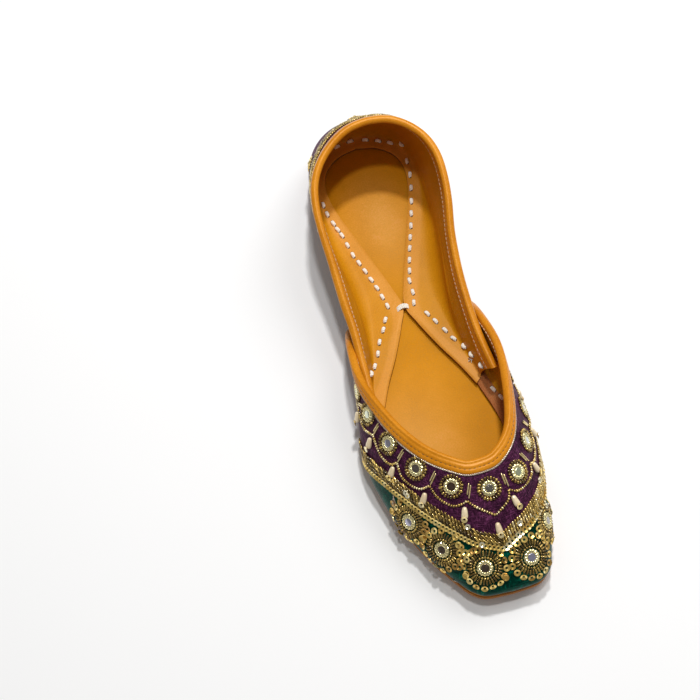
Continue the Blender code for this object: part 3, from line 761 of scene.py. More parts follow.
def clothPiece(name, ribs, start, end, steps, material, slotName):
    # cloth over the lining between two shares of every rib; its UV is the flat cut in metres
    shares = start[ribs, None] + (end - start)[ribs, None] * np.linspace(0, 1, steps)
    lengths = vampChart["lengths"][ribs, None]
    outer = readRibs(vampOuter[ribs], shares * lengths)[:, ::-1]
    normal = unit(readRibs(vampOuter[ribs], shares * lengths, vampNormal[ribs]))[:, ::-1]
    middle = vampChart["points"][ribs, upperMake["vampCutColumn"]]
    across = np.broadcast_to(travelled(middle)[:, None], shares.shape)
    uv = np.stack([across, (shares * lengths)[:, ::-1]], axis=-1).reshape(-1, 2)
    newPiece(name, *shellOf(outer, outer - normal * upperMake["cloth"]), [material], slotName,
             ("upper",), uv=np.vstack([uv, uv]))


every = np.arange(len(seamShare))
green = every[seamShare < upperMake["greenEnds"]]
clothPiece("purpleTop", every, np.zeros(len(every)), seamShare, upperMake["purpleSteps"], purpleSilk,
           "vamp_fabric")
clothPiece("greenToe", green, seamShare, np.ones(len(every)), upperMake["greenSteps"], greenSatin,
           "toe_satin")

ends = upperMake["liningEnds"]
lining = (vampOuter - vampNormal * upperMake["liningFrom"])[ends:-ends:2, ::2]
points, faces = shellOf(lining, vampInner[ends:-ends:2, ::2])
column = faces.min(1) % (lining.shape[0] * lining.shape[1]) % lining.shape[1]
newPiece("vampLining", points, faces, [liningLeather, suedeLeather], "lining_leather", ("upper",),
         zone=column < upperMake["suedeColumns"])


def quarterPieces():
    # purple cloth outside, lining inside; the lining alone turns in as the flap, skived at its edge
    columns, start = quarterOuter.shape[1], upperMake["clothColumn"]
    cloth, normal = quarterOuter[:, start:], quarterNormal[:, start:]
    middle = travelled(quarterOuter[:, upperMake["quarterCutColumn"]])
    down = np.linalg.norm(np.diff(cloth[:, ::-1], axis=1), axis=2)
    down = np.cumsum(np.column_stack([np.zeros(len(cloth)), down]), axis=1)[:, ::-1]
    uv = np.stack([np.broadcast_to(middle[:, None], down.shape), down], axis=-1).reshape(-1, 2)
    newPiece("purpleBack", *shellOf(cloth, cloth - normal * upperMake["cloth"]), [purpleSilk],
             "vamp_fabric", ("upper",), uv=np.vstack([uv, uv]))
    raised = np.interp(np.arange(columns), upperMake["raisedColumns"],
                       [upperMake["raisedFrom"], upperMake["liningFrom"]])
    fromEdge = np.linalg.norm(quarterOuter - quarterOuter[:, :1], axis=2)
    thin = upperMake["flapSkive"] * np.clip(1 - fromEdge / upperMake["flapSkiveReach"], 0, 1) ** 2
    outer = quarterOuter - quarterNormal * raised[None, :, None]
    inner = quarterOuter - quarterNormal * (shoe["wall"] - thin[..., None])
    points, faces = shellOf(outer, inner)
    # the rim faces take the darkened cut-edge finish: a painted shadow line along the flap's edge
    rim = np.arange(len(faces)) >= len(faces) - 2 * (columns + len(outer)) + 4
    near, far = upperMake["stripReach"]
    strip = np.clip((far - fromEdge) / (far - near), 0, 1).ravel()
    newPiece("quarterLining", points, faces, [liningLeather, shadedCutEdge], "lining_leather", ("upper",),
             tint=np.r_[strip, strip], zone=rim)
    return inner


quarterFloor = quarterPieces()

# Bindings

throatFold = {
    "outerLeg": 4.7 * mm, "innerLeg": 3.0 * mm, "base": 0.05 * mm,
    # share of the outer leg under the edge, and the height over the wall in mm
    "outer": [(1.00, 0.55), (0.965, 0.85), (0.90, 1.03), (0.78, 1.14), (0.64, 1.14), (0.56, 1.05),
              (0.50, 0.96), (0.44, 1.05), (0.36, 1.14), (0.24, 1.12), (0.13, 0.98), (0.06, 0.80)],
    "crest": [(12, 0.86), (26, 1.10), (42, 1.22), (60, 1.26), (80, 1.26), (100, 1.26), (122, 1.24),
              (145, 1.20), (165, 1.16)],
    "inner": [(0.10, 1.12), (0.30, 1.08), (0.60, 1.02), (0.85, 0.92), (0.96, 0.72), (1.0, 0.45)]}
toplineFold = {
    "outerLeg": 3.0 * mm, "innerLeg": 6.8 * mm, "base": 0.05 * mm,
    "outer": [(1.00, 0.50), (0.95, 0.85), (0.85, 1.06), (0.65, 1.16), (0.45, 1.20), (0.25, 1.20),
              (0.10, 1.20)],
    "crest": [(12, 1.20), (28, 1.22), (46, 1.24), (64, 1.26), (82, 1.26), (100, 1.24), (120, 1.18),
              (140, 1.06), (160, 0.92)],
    "inner": [(0.06, 0.74), (0.12, 0.64), (0.30, 0.66), (0.50, 0.67), (0.66, 0.64), (0.72, 0.54),
              (0.78, 0.64), (0.90, 0.62), (0.97, 0.50), (1.0, 0.30)]}


def foldOver(outer, inner, fold):
    # Leather strip up the outer face, over the edge and down the inner face; its thickness follows
    # the fold's rows. The results are its skin and the base of the strip under it.
    riseFrom, crestLift = 2 * mm, 1.4
    outward, inward = gridNormals(outer), -gridNormals(inner)
    crest = 0.5 * (outer[:, -1] + inner[:, -1])
    rise = unit(outer[:, -1] - readRibs(outer, [riseFrom])[:, 0])
    lay = {"outer": (outer, outward, fold["outerLeg"]), "inner": (inner, inward, fold["innerLeg"])}

    def skin(scale):
        parts = []
        for name in ("outer", "crest", "inner"):
            rows = np.array(fold[name])
            gap = (fold["base"] + (rows[:, 1] * mm - fold["base"]) * scale)[None, :, None]
            if name == "crest":
                angle = np.radians(rows[:, 0])[None, :, None]
                parts.append(crest[:, None] + outward[:, -1][:, None] * (shoe["wall"] / 2 + gap)
                             * np.cos(angle) + rise[:, None] * gap * crestLift * np.sin(angle))
            else:
                face, way, leg = lay[name]
                parts.append(readRibs(face, rows[:, 0] * leg)
                             + unit(readRibs(face, rows[:, 0] * leg, way)) * gap)
        return np.concatenate(parts, axis=1)
    return skin(1), skin(0)


print("bindings")
throatSkin, throatBase = foldOver(vampOuter, vampInner, throatFold)
newPiece("throatBinding", *shellOf(throatSkin, throatBase), [bindingLeather], "binding_leather",
         ("vamp_binding",))
toplineSkin, toplineBase = foldOver(quarterOuter, quarterInner, toplineFold)
newPiece("toplineBinding", *shellOf(toplineSkin, toplineBase), [bindingLeather], "binding_leather",
         ("quarter_binding",))


def stitchRow(line, out, pitch, size, sink, name, finish):
    # machine stitches along a line on the leather, each a flat oval of thread
    way = travelled(line)
    shares = (np.arange(int(way[-1] / pitch)) + 0.5) * pitch / way[-1]
    found = byLength(np.column_stack([line, out, np.gradient(line, axis=0)]), shares)
    outs, ahead = unit(found[:, 3:6]), unit(found[:, 6:9])
    axes = np.stack([ahead, np.cross(outs, ahead), outs], axis=1)
    points, faces = strew(ballOf(3, 2.6), found[:, :3] - outs * sink, axes, size)
    newPiece(name, points, faces, [finish], "thread")


seamThread = {
    "pitch": 2.3 * mm, "sink": 0.03 * mm, "small": (0.62 * mm, 0.19 * mm, 0.14 * mm),
    "large": (0.92 * mm, 0.34 * mm, 0.30 * mm), "throatRow": 6, "toplineRow": 21, "innerRow": -4,
    "cordRadius": 0.45 * mm, "cordTwist": 2.0 * mm, "cordGap": 0.35 * mm, "cordLift": 0.35 * mm,
    "cordSteps": 820}
for name, skin, row, size, finish in (
        ("throatStitches", throatSkin, "throatRow", "small", darkThreadAndHoleShade),
        ("toplineStitches", toplineSkin, "toplineRow", "large", paleThread),
        ("throatInnerStitches", throatSkin, "innerRow", "large", paleThread)):
    row = seamThread[row]
    stitchRow(skin[:, row], gridNormals(skin)[:, row], seamThread["pitch"], seamThread[size],
              seamThread["sink"], name, finish)

cordDown = throatFold["outerLeg"] + seamThread["cordGap"]
cordLine = readRibs(vampOuter, [cordDown])[:, 0]
cordOut = unit(readRibs(vampOuter, [cordDown], vampNormal)[:, 0])
cordTable = byLength(np.column_stack([cordLine + cordOut * seamThread["cordLift"], cordOut]),
                     np.linspace(0, 1, seamThread["cordSteps"]))
points, faces = twistedThread(cordTable[:, :3], unit(cordTable[:, 3:]), seamThread["cordRadius"], 2,
                              seamThread["cordTwist"])
newPiece("throatCord", points, faces, [silverCordThread], "thread",
         tint=np.random.default_rng(5).random(len(points)))

# Soles

soleMake = {
    "steps": 360, "rings": 34, "keel": (0.04, 0.55), "ringPower": 0.85,
    # outward offset and height of the stitch groove, then the outsole's rounded edge: its angles,
    # its swell at half height and the two steps of its upper rim
    "groove": [(-3.6 * mm, 0.0), (-3.4 * mm, 0.45 * mm), (-3.15 * mm, 0.6 * mm),
               (-2.9 * mm, 0.45 * mm), (-2.7 * mm, 0.0)],
    "edgeRound": 0.9 * mm, "bend": (0, 20, 40, 60, 80), "swell": 0.05 * mm,
    "rim": (0.10 * mm, 0.35 * mm), "insoleRim": 0.2 * mm,
    "stitchLine": (-3.15 * mm, 0.42 * mm), "stitchPitch": 3.6 * mm,
    "stitchSize": (1.35 * mm, 0.32 * mm, 0.30 * mm),
    "seat": (2 * mm, 78 * mm), "seatReach": (15 * mm, 36 * mm), "seatRise": 0.75 * mm,
    "tread": (3 * mm, -48 * mm), "treadReach": (34 * mm, 56 * mm), "treadRise": -0.75 * mm,
    # painted highlights on the insole, spots where its colour is lifted as if a lamp's gloss fell
    # there: x, y and reach both ways
    "paintedHighlight": [(-14 * mm, -48 * mm, 20 * mm, 26 * mm), (1 * mm, 76 * mm, 15 * mm, 26 * mm)]}


def plateOf(outline, levels, rings, top):
    # Plate through levels of outward offset and height; each face is filled with rings of quads
    # that shrink to a short keel line. top gives a height to add from x and y.
    normals = planNormals(outline, True)
    keel = outline * soleMake["keel"]
    edge = [withHeight(outline + normals * out, height) for out, height in levels]
    shares = np.linspace(0, 1, rings)[1:] ** soleMake["ringPower"]

    def face(border, height):
        return [withHeight(border[:, :2] * (1 - share) + keel * share, height) for share in shares]
    lower = face(edge[0], levels[0][1])[::-1]
    upper = face(edge[-1], levels[-1][1])
    grid = np.stack(lower + edge + upper)
    first = len(lower) + len(edge) - 1
    grid[first:, :, 2] += top(grid[first:, :, 0], grid[first:, :, 1])
    rows, count = grid.shape[:2]
    faces = quadsOf(rows, count, False, True)
    half = count // 2
    k = np.arange(half - 1)
    cap = np.stack([k, k + 1, count - 2 - k, count - 1 - k], axis=1)
    return lifted(grid).reshape(-1, 3), np.vstack([faces, cap, cap[:, ::-1] + (rows - 1) * count])


def seatShape(x, y):
    # the heel seat is a low pillow between the flaps, and the tread is hollowed by the foot
    height = 0
    for stem in ("seat", "tread"):
        (cx, cy), (reachX, reachY) = soleMake[stem], soleMake[stem + "Reach"]
        away = ((x - cx) / reachX) ** 2 + ((y - cy) / reachY) ** 2
        height = height + soleMake[stem + "Rise"] * np.clip(1 - away, 0, 1) ** 2
    return height


print("soles")
outline = np.roll(fullOutline(soleMake["steps"]), soleMake["steps"] // 2, axis=0)
turn, margin, top = soleMake["edgeRound"], shoe["outsoleMargin"], shoe["outsole"]
small, large = soleMake["rim"]
levels = soleMake["groove"] + [
    (margin - turn * (1 - math.sin(a)), turn * (1 - math.cos(a)))
    for a in np.radians(soleMake["bend"])]
levels += [(margin, turn), (margin + soleMake["swell"], 0.5 * top), (margin, top - large),
           (margin - small, top - small), (margin - large, top)]
newPiece("outsolePlate", *plateOf(outline, levels, soleMake["rings"] // 2, lambda x, y: 0 * x),
         [soleLeather], "sole_leather", ("outsole",))
offset, height = soleMake["stitchLine"]
line = lifted(withHeight(outline + planNormals(outline, True) * offset, height))
stitchRow(np.vstack([line, line[:1]]), np.tile([0.0, 0.0, -1.0], (len(line) + 1, 1)),
          soleMake["stitchPitch"], soleMake["stitchSize"], 0.0, "soleStitches", whiteCotton)
inset, floor, rim = -shoe["insoleInset"], shoe["insoleFloor"], soleMake["insoleRim"]
top = floor + shoe["insole"]
points, faces = plateOf(outline, [(inset - rim, floor), (inset, floor + rim), (inset, top - rim),
                                  (inset - rim, top)], soleMake["rings"], seatShape)
# painted highlights: the insole's tint is 1 at two lifted spots, on the forepart and on the heel seat
paintedHighlight = sum(np.exp(-((points[:, 0] - x) / reachX) ** 2 - ((points[:, 1] - y) / reachY) ** 2)
              for x, y, reachX, reachY in soleMake["paintedHighlight"])
newPiece("insoleSock", points, faces, [insoleLeather], "insole_leather", ("insole",),
         tint=np.clip(paintedHighlight, 0, 1))

# Cotton stitches that hold the flaps and the margins down

cotton = {
    "length": 2.65 * mm, "thick": 0.90 * mm, "rise": 0.66 * mm, "dip": 0.35 * mm, "plies": 3,
    # the hole entry sizes the dark disc painted as shade in each needle hole
    "twist": 2.4 * mm, "wobble": 0.10, "holeShadeSize": (0.754 * mm, 0.870 * mm, 0.10 * mm),
    # stitches are put down by rays from above, or from the camera where they climb the wall
    "above": 16 * mm, "seenAtSlant": ("foreMedial",), "slantFloor": 6.8 * mm,
    # x and y in mm, one row for each side of a flap
    "rows": {
        "heelLateral": [(-24.6, 91.5), (-24.0, 85.8), (-22.3, 79.8), (-21.1, 75.8), (-19.8, 72.0),
                        (-18.5, 65.8), (-17.2, 59.6), (-15.4, 54.5), (-13.6, 49.2), (-11.9, 43.8),
                        (-10.3, 38.6), (-9.0, 33.0), (-7.8, 27.4)],
        "heelBack": [(-9.3, 122.6), (-1.9, 123.8), (5.9, 122.5), (12.2, 120.0), (17.9, 117.1),
                     (23.3, 113.0)],
        "heelMedial": [(23.6, 104.2), (22.9, 96.1), (21.4, 88.5), (19.5, 81.0), (17.5, 74.2),
                       (15.5, 67.5), (13.4, 61.2), (11.5, 55.3), (9.6, 49.0), (8.0, 43.2), (6.5, 37.9),
                       (6.4, 31.3), (5.3, 25.4)],
        "foreMedial": [(10.2, 18.3), (13.0, 13.3), (16.2, 7.3), (19.0, 1.8), (23.1, -3.5),
                       (25.3, -8.8), (28.2, -15.6)],
        "foreLateral": [(-10.8, 20.2), (-13.2, 15.2), (-16.7, 9.3), (-19.1, 3.5), (-22.3, -2.6),
                        (-25.5, -7.2)],
        "marginMedial": [(30.0, -29.4), (32.6, -34.5), (33.9, -40.2)]}}


def floorTree(*grids):
    # everything that a stitch may lie on
    parts = [(grid.reshape(-1, 3), quadsOf(*grid.shape[:2])) for grid in grids]
    points, faces = joined(parts)
    return BVHTree.FromPolygons(points.tolist(), faces.tolist())


def putDown(tree, place, slanted):
    # where a ray meets the leather, and the leather's normal on the side that the ray comes from
    start, look = np.array([*place, cotton["above"]]), np.array([0.0, 0.0, -1.0])
    if slanted:
        start = np.array(photoEye)
        look = unit(np.array([*place, cotton["slantFloor"]]) - start)
    hit, normal, _, _ = tree.ray_cast(start.tolist(), look.tolist())
    return np.array(hit), np.array(normal) * (1 if np.dot(normal, look) < 0 else -1)


def stitchShape(ahead, centre, out):
    # an arched thread whose ends go down through the leather
    t = np.linspace(-1, 1, 15)[:, None]
    arch = cotton["rise"] * (1 - np.abs(t) ** 2.6) - cotton["dip"] * np.abs(t) ** 6
    return twistedThread(centre + ahead * t * cotton["length"] / 2 + out * arch,
                         np.repeat(out[None, :], len(t), axis=0), cotton["thick"],
                         cotton["plies"], cotton["twist"])


print("cotton stitches")
tree = floorTree(quarterFloor, vampInner)
parts, holeShades = [], []
for rowName, places in cotton["rows"].items():
    places = np.array(places) * mm
    ways = unit(np.gradient(places, axis=0))
    for number, (place, way) in enumerate(zip(places, ways)):
        hit, normal = putDown(tree, place, rowName in cotton["seenAtSlant"])
        ahead = np.array([*way, 0.0])
        ahead = unit(ahead - normal * (ahead @ normal))
        wobble = cotton["wobble"] * math.sin(7.3 * number + len(rowName))
        ahead = unit(ahead + np.cross(normal, ahead) * wobble)
        parts.append(stitchShape(ahead, hit, normal))
        axes = np.tile(np.stack([ahead, np.cross(normal, ahead), normal]), (2, 1, 1))
        tips = hit + np.array([[-0.5], [0.5]]) * cotton["length"] * ahead
        # a flat dark disc at each end of a stitch: painted shade of the needle hole
        holeShades.append(strew(ballOf(3), tips, axes, cotton["holeShadeSize"]))
newPiece("cottonStitches", *joined(parts), [whiteCotton], "thread")
newPiece("stitchHoleShades", *joined(holeShades), [darkThreadAndHoleShade], "thread")

knot = {"centre": (24.3 * mm, -11.3 * mm), "ways": (0.35, 1.35, 2.4), "half": 1.7 * mm,
        "thick": 0.24 * mm, "rise": 0.5 * mm, "twist": 1.2 * mm}
hit = putDown(tree, knot["centre"], True)[0]
parts = []
for angle in knot["ways"]:
    t = np.linspace(-1, 1, 9)[:, None]
    way = np.array([math.cos(angle), math.sin(angle), 0.0])
    line = hit + way * t * knot["half"] + np.array([0, 0, knot["rise"]]) * (1.1 - t ** 2)
    parts.append(twistedThread(line, np.tile([0.0, 0.0, 1.0], (len(t), 1)), knot["thick"], 2,
                               knot["twist"]))
newPiece("looseThreads", *joined(parts), [whiteCotton], "thread")

# The tie over the flaps' meeting point: strands side by side that bow towards the heel
tie = {"centre": (-0.7 * mm, 23.8 * mm), "length": 6.4 * mm, "strands": 4, "spread": 0.60 * mm,
       "beside": 2 * mm, "bow": 1.1 * mm, "slant": 0.15 * mm, "lift": 0.35 * mm, "rise": 0.5 * mm,
       "dip": 1.1 * mm, "thick": 0.42 * mm, "twist": 2.0 * mm}
tieX, tieY = tie["centre"]
floor = putDown(tree, (tieX + tie["beside"], tieY), False)[0][2]
parts = []
for strand in range(tie["strands"]):
    t = np.linspace(-1, 1, 25)[:, None]
    off = (strand - (tie["strands"] - 1) / 2) * tie["spread"]
    line = np.hstack([
        tieX + t * tie["length"] / 2,
        tieY + off + tie["bow"] * (1 - t ** 2) + tie["slant"] * t,
        floor + tie["lift"] + tie["rise"] * (1 - np.abs(t) ** 3) - tie["dip"] * np.abs(t) ** 8])
    parts.append(twistedThread(line, np.tile([0.0, 0.0, 1.0], (len(t), 1)), tie["thick"], 2,
                               tie["twist"]))
newPiece("threadTie", *joined(parts), [whiteCotton], "thread")

# Small hardware: base shapes with one unit of half size

bead = ballOf(3)
bugle = ballOf(3, 5.0)
drop = ballOf(5, 4.0, 0.22)
sequin = ringOf([(0.38, 0.02), (1.0, 0.30), (1.0, 0.19), (0.38, -0.09)], 15)
bezel = ringOf([(0.46, 0.10), (0.51, 0.34), (0.62, 0.50), (0.80, 0.46), (0.93, 0.30), (1.0, 0.12),
                (0.98, 0.0), (0.70, -0.02), (0.48, -0.02)], 84, 14, 0.05, 0.09)
lens = ballOf(6, 2.4)

mirrorMake = {
    "radius": 3.85 * mm, "height": 1.7 * mm, "lift": 0.12 * mm, "turn": 0.3, "rimTint": 0.75,
    "glass": 0.50, "glassRise": 0.42 * mm, "glassHeight": 0.35 * mm,
    # painted reflection of each mirror's glass, throat mirrors then toe mirrors
    "throatReflections": [0.95, 0.9, 0.5, 0.16, 0.02, 0.26, 0.98, 0.85, 0.7, 0.9],
    "toeReflections": [0.55, 0.06, 0.04, 0.62, 0.4],
    "beadRing": 4.95 * mm, "beads": 22, "beadLift": 0.5 * mm,
    "beadSize": (0.92 * mm, 0.66 * mm, 0.62 * mm)}


def mirrorPieces(rows, tints, stem):
    # fluted rim round a low lens of glass, standing for the solid disc of the same name; the lens's
    # colour, one per mirror, is a painted reflection
    heading = headingOn(vampChart, *rows.T, mirrorMake["turn"])
    centres, axes = framesOn(vampChart, *rows.T, heading, mirrorMake["lift"])
    size = mirrorMake["radius"]
    glassSize = size * mirrorMake["glass"]
    for k, tint in enumerate(tints):
        centre, axis = centres[k:k + 1], axes[k:k + 1]
        rim = strew(bezel, centre, axis, (size, size, mirrorMake["height"]))
        glass = strew(lens, centre + axis[:, 2] * mirrorMake["glassRise"], axis,
                      (glassSize, glassSize, mirrorMake["glassHeight"]))
        zone = np.r_[np.zeros(len(rim[1])), np.ones(len(glass[1]))]
        rimAndReflection = np.r_[np.full(len(rim[0]), mirrorMake["rimTint"]), np.full(len(glass[0]), tint)]
        newPiece(f"{stem}Mirror{k + 1}", *joined([rim, glass]), [bezelMetal, mirrorGlass],
                 "mirror_glass", (f"{stem}_mirror_{k + 1}",), tint=rimAndReflection, zone=zone)


def ringRound(row, radius, count, start):
    # places on a circle round a chart place, with the way out from its centre
    angle = start + np.arange(count) * 2 * math.pi / count
    around, below = np.full(count, row[0]), np.full(count, row[1])
    heading = headingOn(vampChart, around, below, angle)
    around, below = walk(vampChart, around, below, heading, radius)
    return around, below, heading


print("mirrors")
mirrorPieces(throatMirrorRows, mirrorMake["throatReflections"], "throat")
mirrorPieces(toeMirrorRows, mirrorMake["toeReflections"], "toe")
draw = np.random.default_rng(11)
parts = []
for row in throatMirrorRows:
    around, below, heading = ringRound(row, mirrorMake["beadRing"], mirrorMake["beads"], 0.1)
    keep = shows(vampChart, around, below)
    centres, axes = framesOn(vampChart, around[keep], below[keep], heading[keep],
                             mirrorMake["beadLift"])
    sizes = np.array(mirrorMake["beadSize"]) * (1 + 0.10 * draw.normal(size=(len(centres), 1)))
    parts.append((*strew(bead, centres, axes, sizes), draw.uniform(0.15, 0.60, len(centres))))
sewnOn(parts, "mirrorBeads", beadMetal)

# Scallops of small beads with a drop under every cusp

scallop = {
    # pitch along the row, bead, its stretch along, across and out, lift as a share, tints
    "beads": (1.20 * mm, 0.60 * mm, (0.92, 1.08, 1.0), 0.75, (0.45, 0.98)),
    "arcs": [
        [(-0.455, 0.300), (-0.425, 0.410), (-0.394, 0.370)],
        [(-0.394, 0.370), (-0.354, 0.400), (-0.319, 0.301)],
        [(-0.319, 0.301), (-0.296, 0.366), (-0.270, 0.345), (-0.256, 0.271)],
        [(-0.256, 0.271), (-0.236, 0.345), (-0.200, 0.327), (-0.177, 0.251)],
        [(-0.177, 0.251), (-0.150, 0.303), (-0.110, 0.309), (-0.082, 0.268), (-0.067, 0.236)],
        [(-0.067, 0.236), (-0.032, 0.284), (0.006, 0.345)],
        [(0.006, 0.345), (0.032, 0.312), (0.055, 0.281), (0.067, 0.237)],
        [(0.067, 0.237), (0.090, 0.300), (0.136, 0.365), (0.171, 0.400), (0.186, 0.370)],
        [(0.186, 0.370), (0.210, 0.455), (0.245, 0.490), (0.275, 0.440)],
        [(0.275, 0.440), (0.300, 0.545), (0.335, 0.575), (0.355, 0.505)],
        [(0.355, 0.505), (0.385, 0.590), (0.425, 0.500)]],
    "bars": [((-0.355, 0.185), (-0.394, 0.345)), ((-0.311, 0.140), (-0.319, 0.275)),
             ((-0.250, 0.130), (-0.256, 0.245)), ((-0.170, 0.130), (-0.177, 0.226)),
             ((-0.053, 0.120), (-0.064, 0.212)), ((0.074, 0.130), (0.068, 0.214)),
             ((0.172, 0.190), (0.184, 0.340)), ((0.262, 0.265), (0.274, 0.410)),
             ((0.344, 0.320), (0.354, 0.475))],
    "drops": [(-0.385, 0.475), (-0.323, 0.407), (-0.260, 0.380), (-0.182, 0.366), (-0.074, 0.318),
              (0.003, 0.427), (0.067, 0.321), (0.194, 0.456), (0.277, 0.535), (0.357, 0.600)],
    "dropSize": (2.7 * mm, 1.45 * mm, 1.2 * mm), "dropLift": 1.0 * mm,
    "ring": 1.55 * mm, "ringDown": 2.9 * mm, "ringLift": 1.9 * mm, "ringTilt": 0.30}
# Every bar is two bugles side by side: aside, ahead and half length of each
barMake = {"pair": [(-0.50 * mm, -0.5 * mm, 2.8 * mm), (0.50 * mm, 0.6 * mm, 3.1 * mm)],
           "width": 0.36 * mm, "thick": 0.40 * mm, "lift": 0.40 * mm, "tint": 0.84}


def rowOfBeads(chart, line, make):
    # small beads along a row, with small differences in size
    pitch, size, stretch, lift, tints = make
    around, below, heading = threadOn(chart, line, pitch)
    centres, axes = framesOn(chart, around, below, heading, size * lift)
    sizes = size * (1 + 0.10 * draw.normal(size=(len(centres), 1))) * np.array(stretch)
    return (*strew(bead, centres, axes, sizes), draw.uniform(*tints, len(centres)))


print("scallops, bars and drops")
parts = [rowOfBeads(vampChart, arc, scallop["beads"]) for arc in scallop["arcs"]]
sewnOn(parts, "scallopBeads", beadMetal)

parts = []
for ends in scallop["bars"]:
    points = placeOn(vampChart, *np.transpose(ends))[0]
    heading = unit(points[1:] - points[:1])
    middle = np.mean(ends, axis=0)[:, None]
    out = placeOn(vampChart, *middle)[1]
    for aside, ahead, half in barMake["pair"]:
        around, below = walk(vampChart, *middle, np.cross(out, heading), aside)
        around, below = walk(vampChart, around, below, heading, ahead)
        centres, axes = framesOn(vampChart, around, below, heading, barMake["lift"])
        parts.append((*strew(bugle, centres, axes, (half, barMake["width"], barMake["thick"])),
                      np.array([barMake["tint"]])))
sewnOn(parts, "goldBars", beadMetal)

around, below = np.transpose(scallop["drops"])
count = len(around)
heading = headingOn(vampChart, around, below, 0.0)
centres, axes = framesOn(vampChart, around, below, heading, scallop["dropLift"])
parts = [(*strew(drop, centres, axes, scallop["dropSize"]), draw.uniform(0.6, 1.0, count))]
sewnOn(parts, "creamDrops", creamPearl)
around, below = walk(vampChart, around, below, heading, scallop["ringDown"])
centres, axes = framesOn(vampChart, around, below, heading, scallop["ringLift"])
axes = tilted(axes, np.full(count, scallop["ringTilt"]), 1)
parts = [(*strew(sequin, centres, axes, scallop["ring"]), draw.uniform(0.75, 0.95, count))]
sewnOn(parts, "dropRings", sequinMetal)

# Band of bugle beads over the seam, with the chain of ring sequins along its toe side

bandMake = {
    # upper edge of the beads on both arms, which meet at the apex
    "lateralEdge": [(-0.375, 0.690), (-0.350, 0.620), (-0.310, 0.510), (-0.270, 0.425),
                    (-0.228, 0.380), (-0.194, 0.374), (-0.157, 0.378), (-0.116, 0.384),
                    (-0.075, 0.395), (-0.035, 0.426), (0.003, 0.470)],
    "medialEdge": [(0.003, 0.470), (0.024, 0.436), (0.050, 0.410), (0.084, 0.418), (0.124, 0.456),
                   (0.165, 0.508), (0.200, 0.555), (0.250, 0.615), (0.300, 0.690)],
    "rows": (0.9 * mm, 2.65 * mm, 4.4 * mm),
    # pitch along the row, half length, half width, turn from the row, tints
    "lateral": (1.85 * mm, 1.70 * mm, 0.44 * mm, -0.55, (0.05, 0.68)),
    "medial": (1.45 * mm, 1.15 * mm, 0.52 * mm, 1.15, (0.40, 0.95)),
    "lift": 0.55 * mm, "liftSpread": 0.12 * mm,
    # side, size and tints of the chain's sequins
    "chain": [("lateral", 1.35 * mm, (0.45, 0.85)), ("medial", 1.60 * mm, (0.65, 1.0))],
    "chainDown": 6.7 * mm, "chainPitch": 1.95 * mm, "chainLift": 0.45 * mm, "chainTilt": 0.22}


def underEdge(chart, edge, down):
    # chart rows a distance below an edge
    edge = np.array(edge)
    lengths = np.interp(edge[:, 0], chart["around"], chart["lengths"])
    return np.column_stack([edge[:, 0], edge[:, 1] + down / lengths])


def turnedOn(chart, around, below, heading, turn):
    # headings turned about the way out
    out = placeOn(chart, around, below)[1]
    return heading * np.cos(turn)[:, None] + np.cross(out, heading) * np.sin(turn)[:, None]


def shownRow(chart, line, pitch):
    # the places of a row that aren't under the other leather
    around, below, heading = threadOn(chart, line, pitch)
    keep = shows(chart, around, below)
    return around[keep], below[keep], heading[keep]


def rowOfBugles(chart, line, make):
    # one row of slanted bugle beads with small differences in size, turn and height
    pitch, half, thick, turn, tints = make
    around, below, heading = shownRow(chart, line, pitch)
    count = len(around)
    heading = turnedOn(chart, around, below, heading, turn + 0.09 * draw.normal(size=count))
    lift = bandMake["lift"] + bandMake["liftSpread"] * draw.random(count)
    centres, axes = framesOn(chart, around, below, heading, lift)
    sizes = np.array([half, thick, thick]) * (1 + 0.06 * draw.normal(size=(count, 1)))
    return (*strew(bugle, centres, axes, sizes), draw.uniform(*tints, count))


def rowOfRings(chart, line, size, tints):
    # ring sequins sewn down one over the next
    around, below, heading = shownRow(chart, line, bandMake["chainPitch"])
    centres, axes = framesOn(chart, around, below, heading, bandMake["chainLift"])
    axes = tilted(axes, bandMake["chainTilt"] + 0.05 * draw.normal(size=len(around)), 1)
    return (*strew(sequin, centres, axes, size), draw.uniform(*tints, len(around)))


print("bead band")
parts, chain, chainLine = [], [], []
for side, size, tints in bandMake["chain"]:
    edge = bandMake[side + "Edge"]
    for down in bandMake["rows"]:
        parts.append(rowOfBugles(vampChart, underEdge(vampChart, edge, down), bandMake[side]))
    chainLine.append(underEdge(vampChart, edge, bandMake["chainDown"]))
    chain.append(rowOfRings(vampChart, chainLine[-1], size, tints))
chainLine = np.vstack(chainLine)
sewnOn(parts, "bugleBand", beadMetal, replaced=("bead_band",))
sewnOn(chain, "sequinChain", sequinMetal)

# Flowers round the toe mirrors

flower = {
    # shape, radius, count, size, lift, turn from flower to flower, tints
    "rings": [(bead, 4.95 * mm, 24, 0.62 * mm, 0.45 * mm, 0.2, (0.2, 0.7)),
              (bugle, 7.0 * mm, 32, (1.30 * mm, 0.50 * mm, 0.46 * mm), 0.38 * mm, 0.1,
               (0.15, 0.6))],
    "petals": 16, "petalRadius": 9.5 * mm, "petal": 1.62 * mm, "petalLift": 0.5 * mm,
    "petalShift": 0.35 * mm}

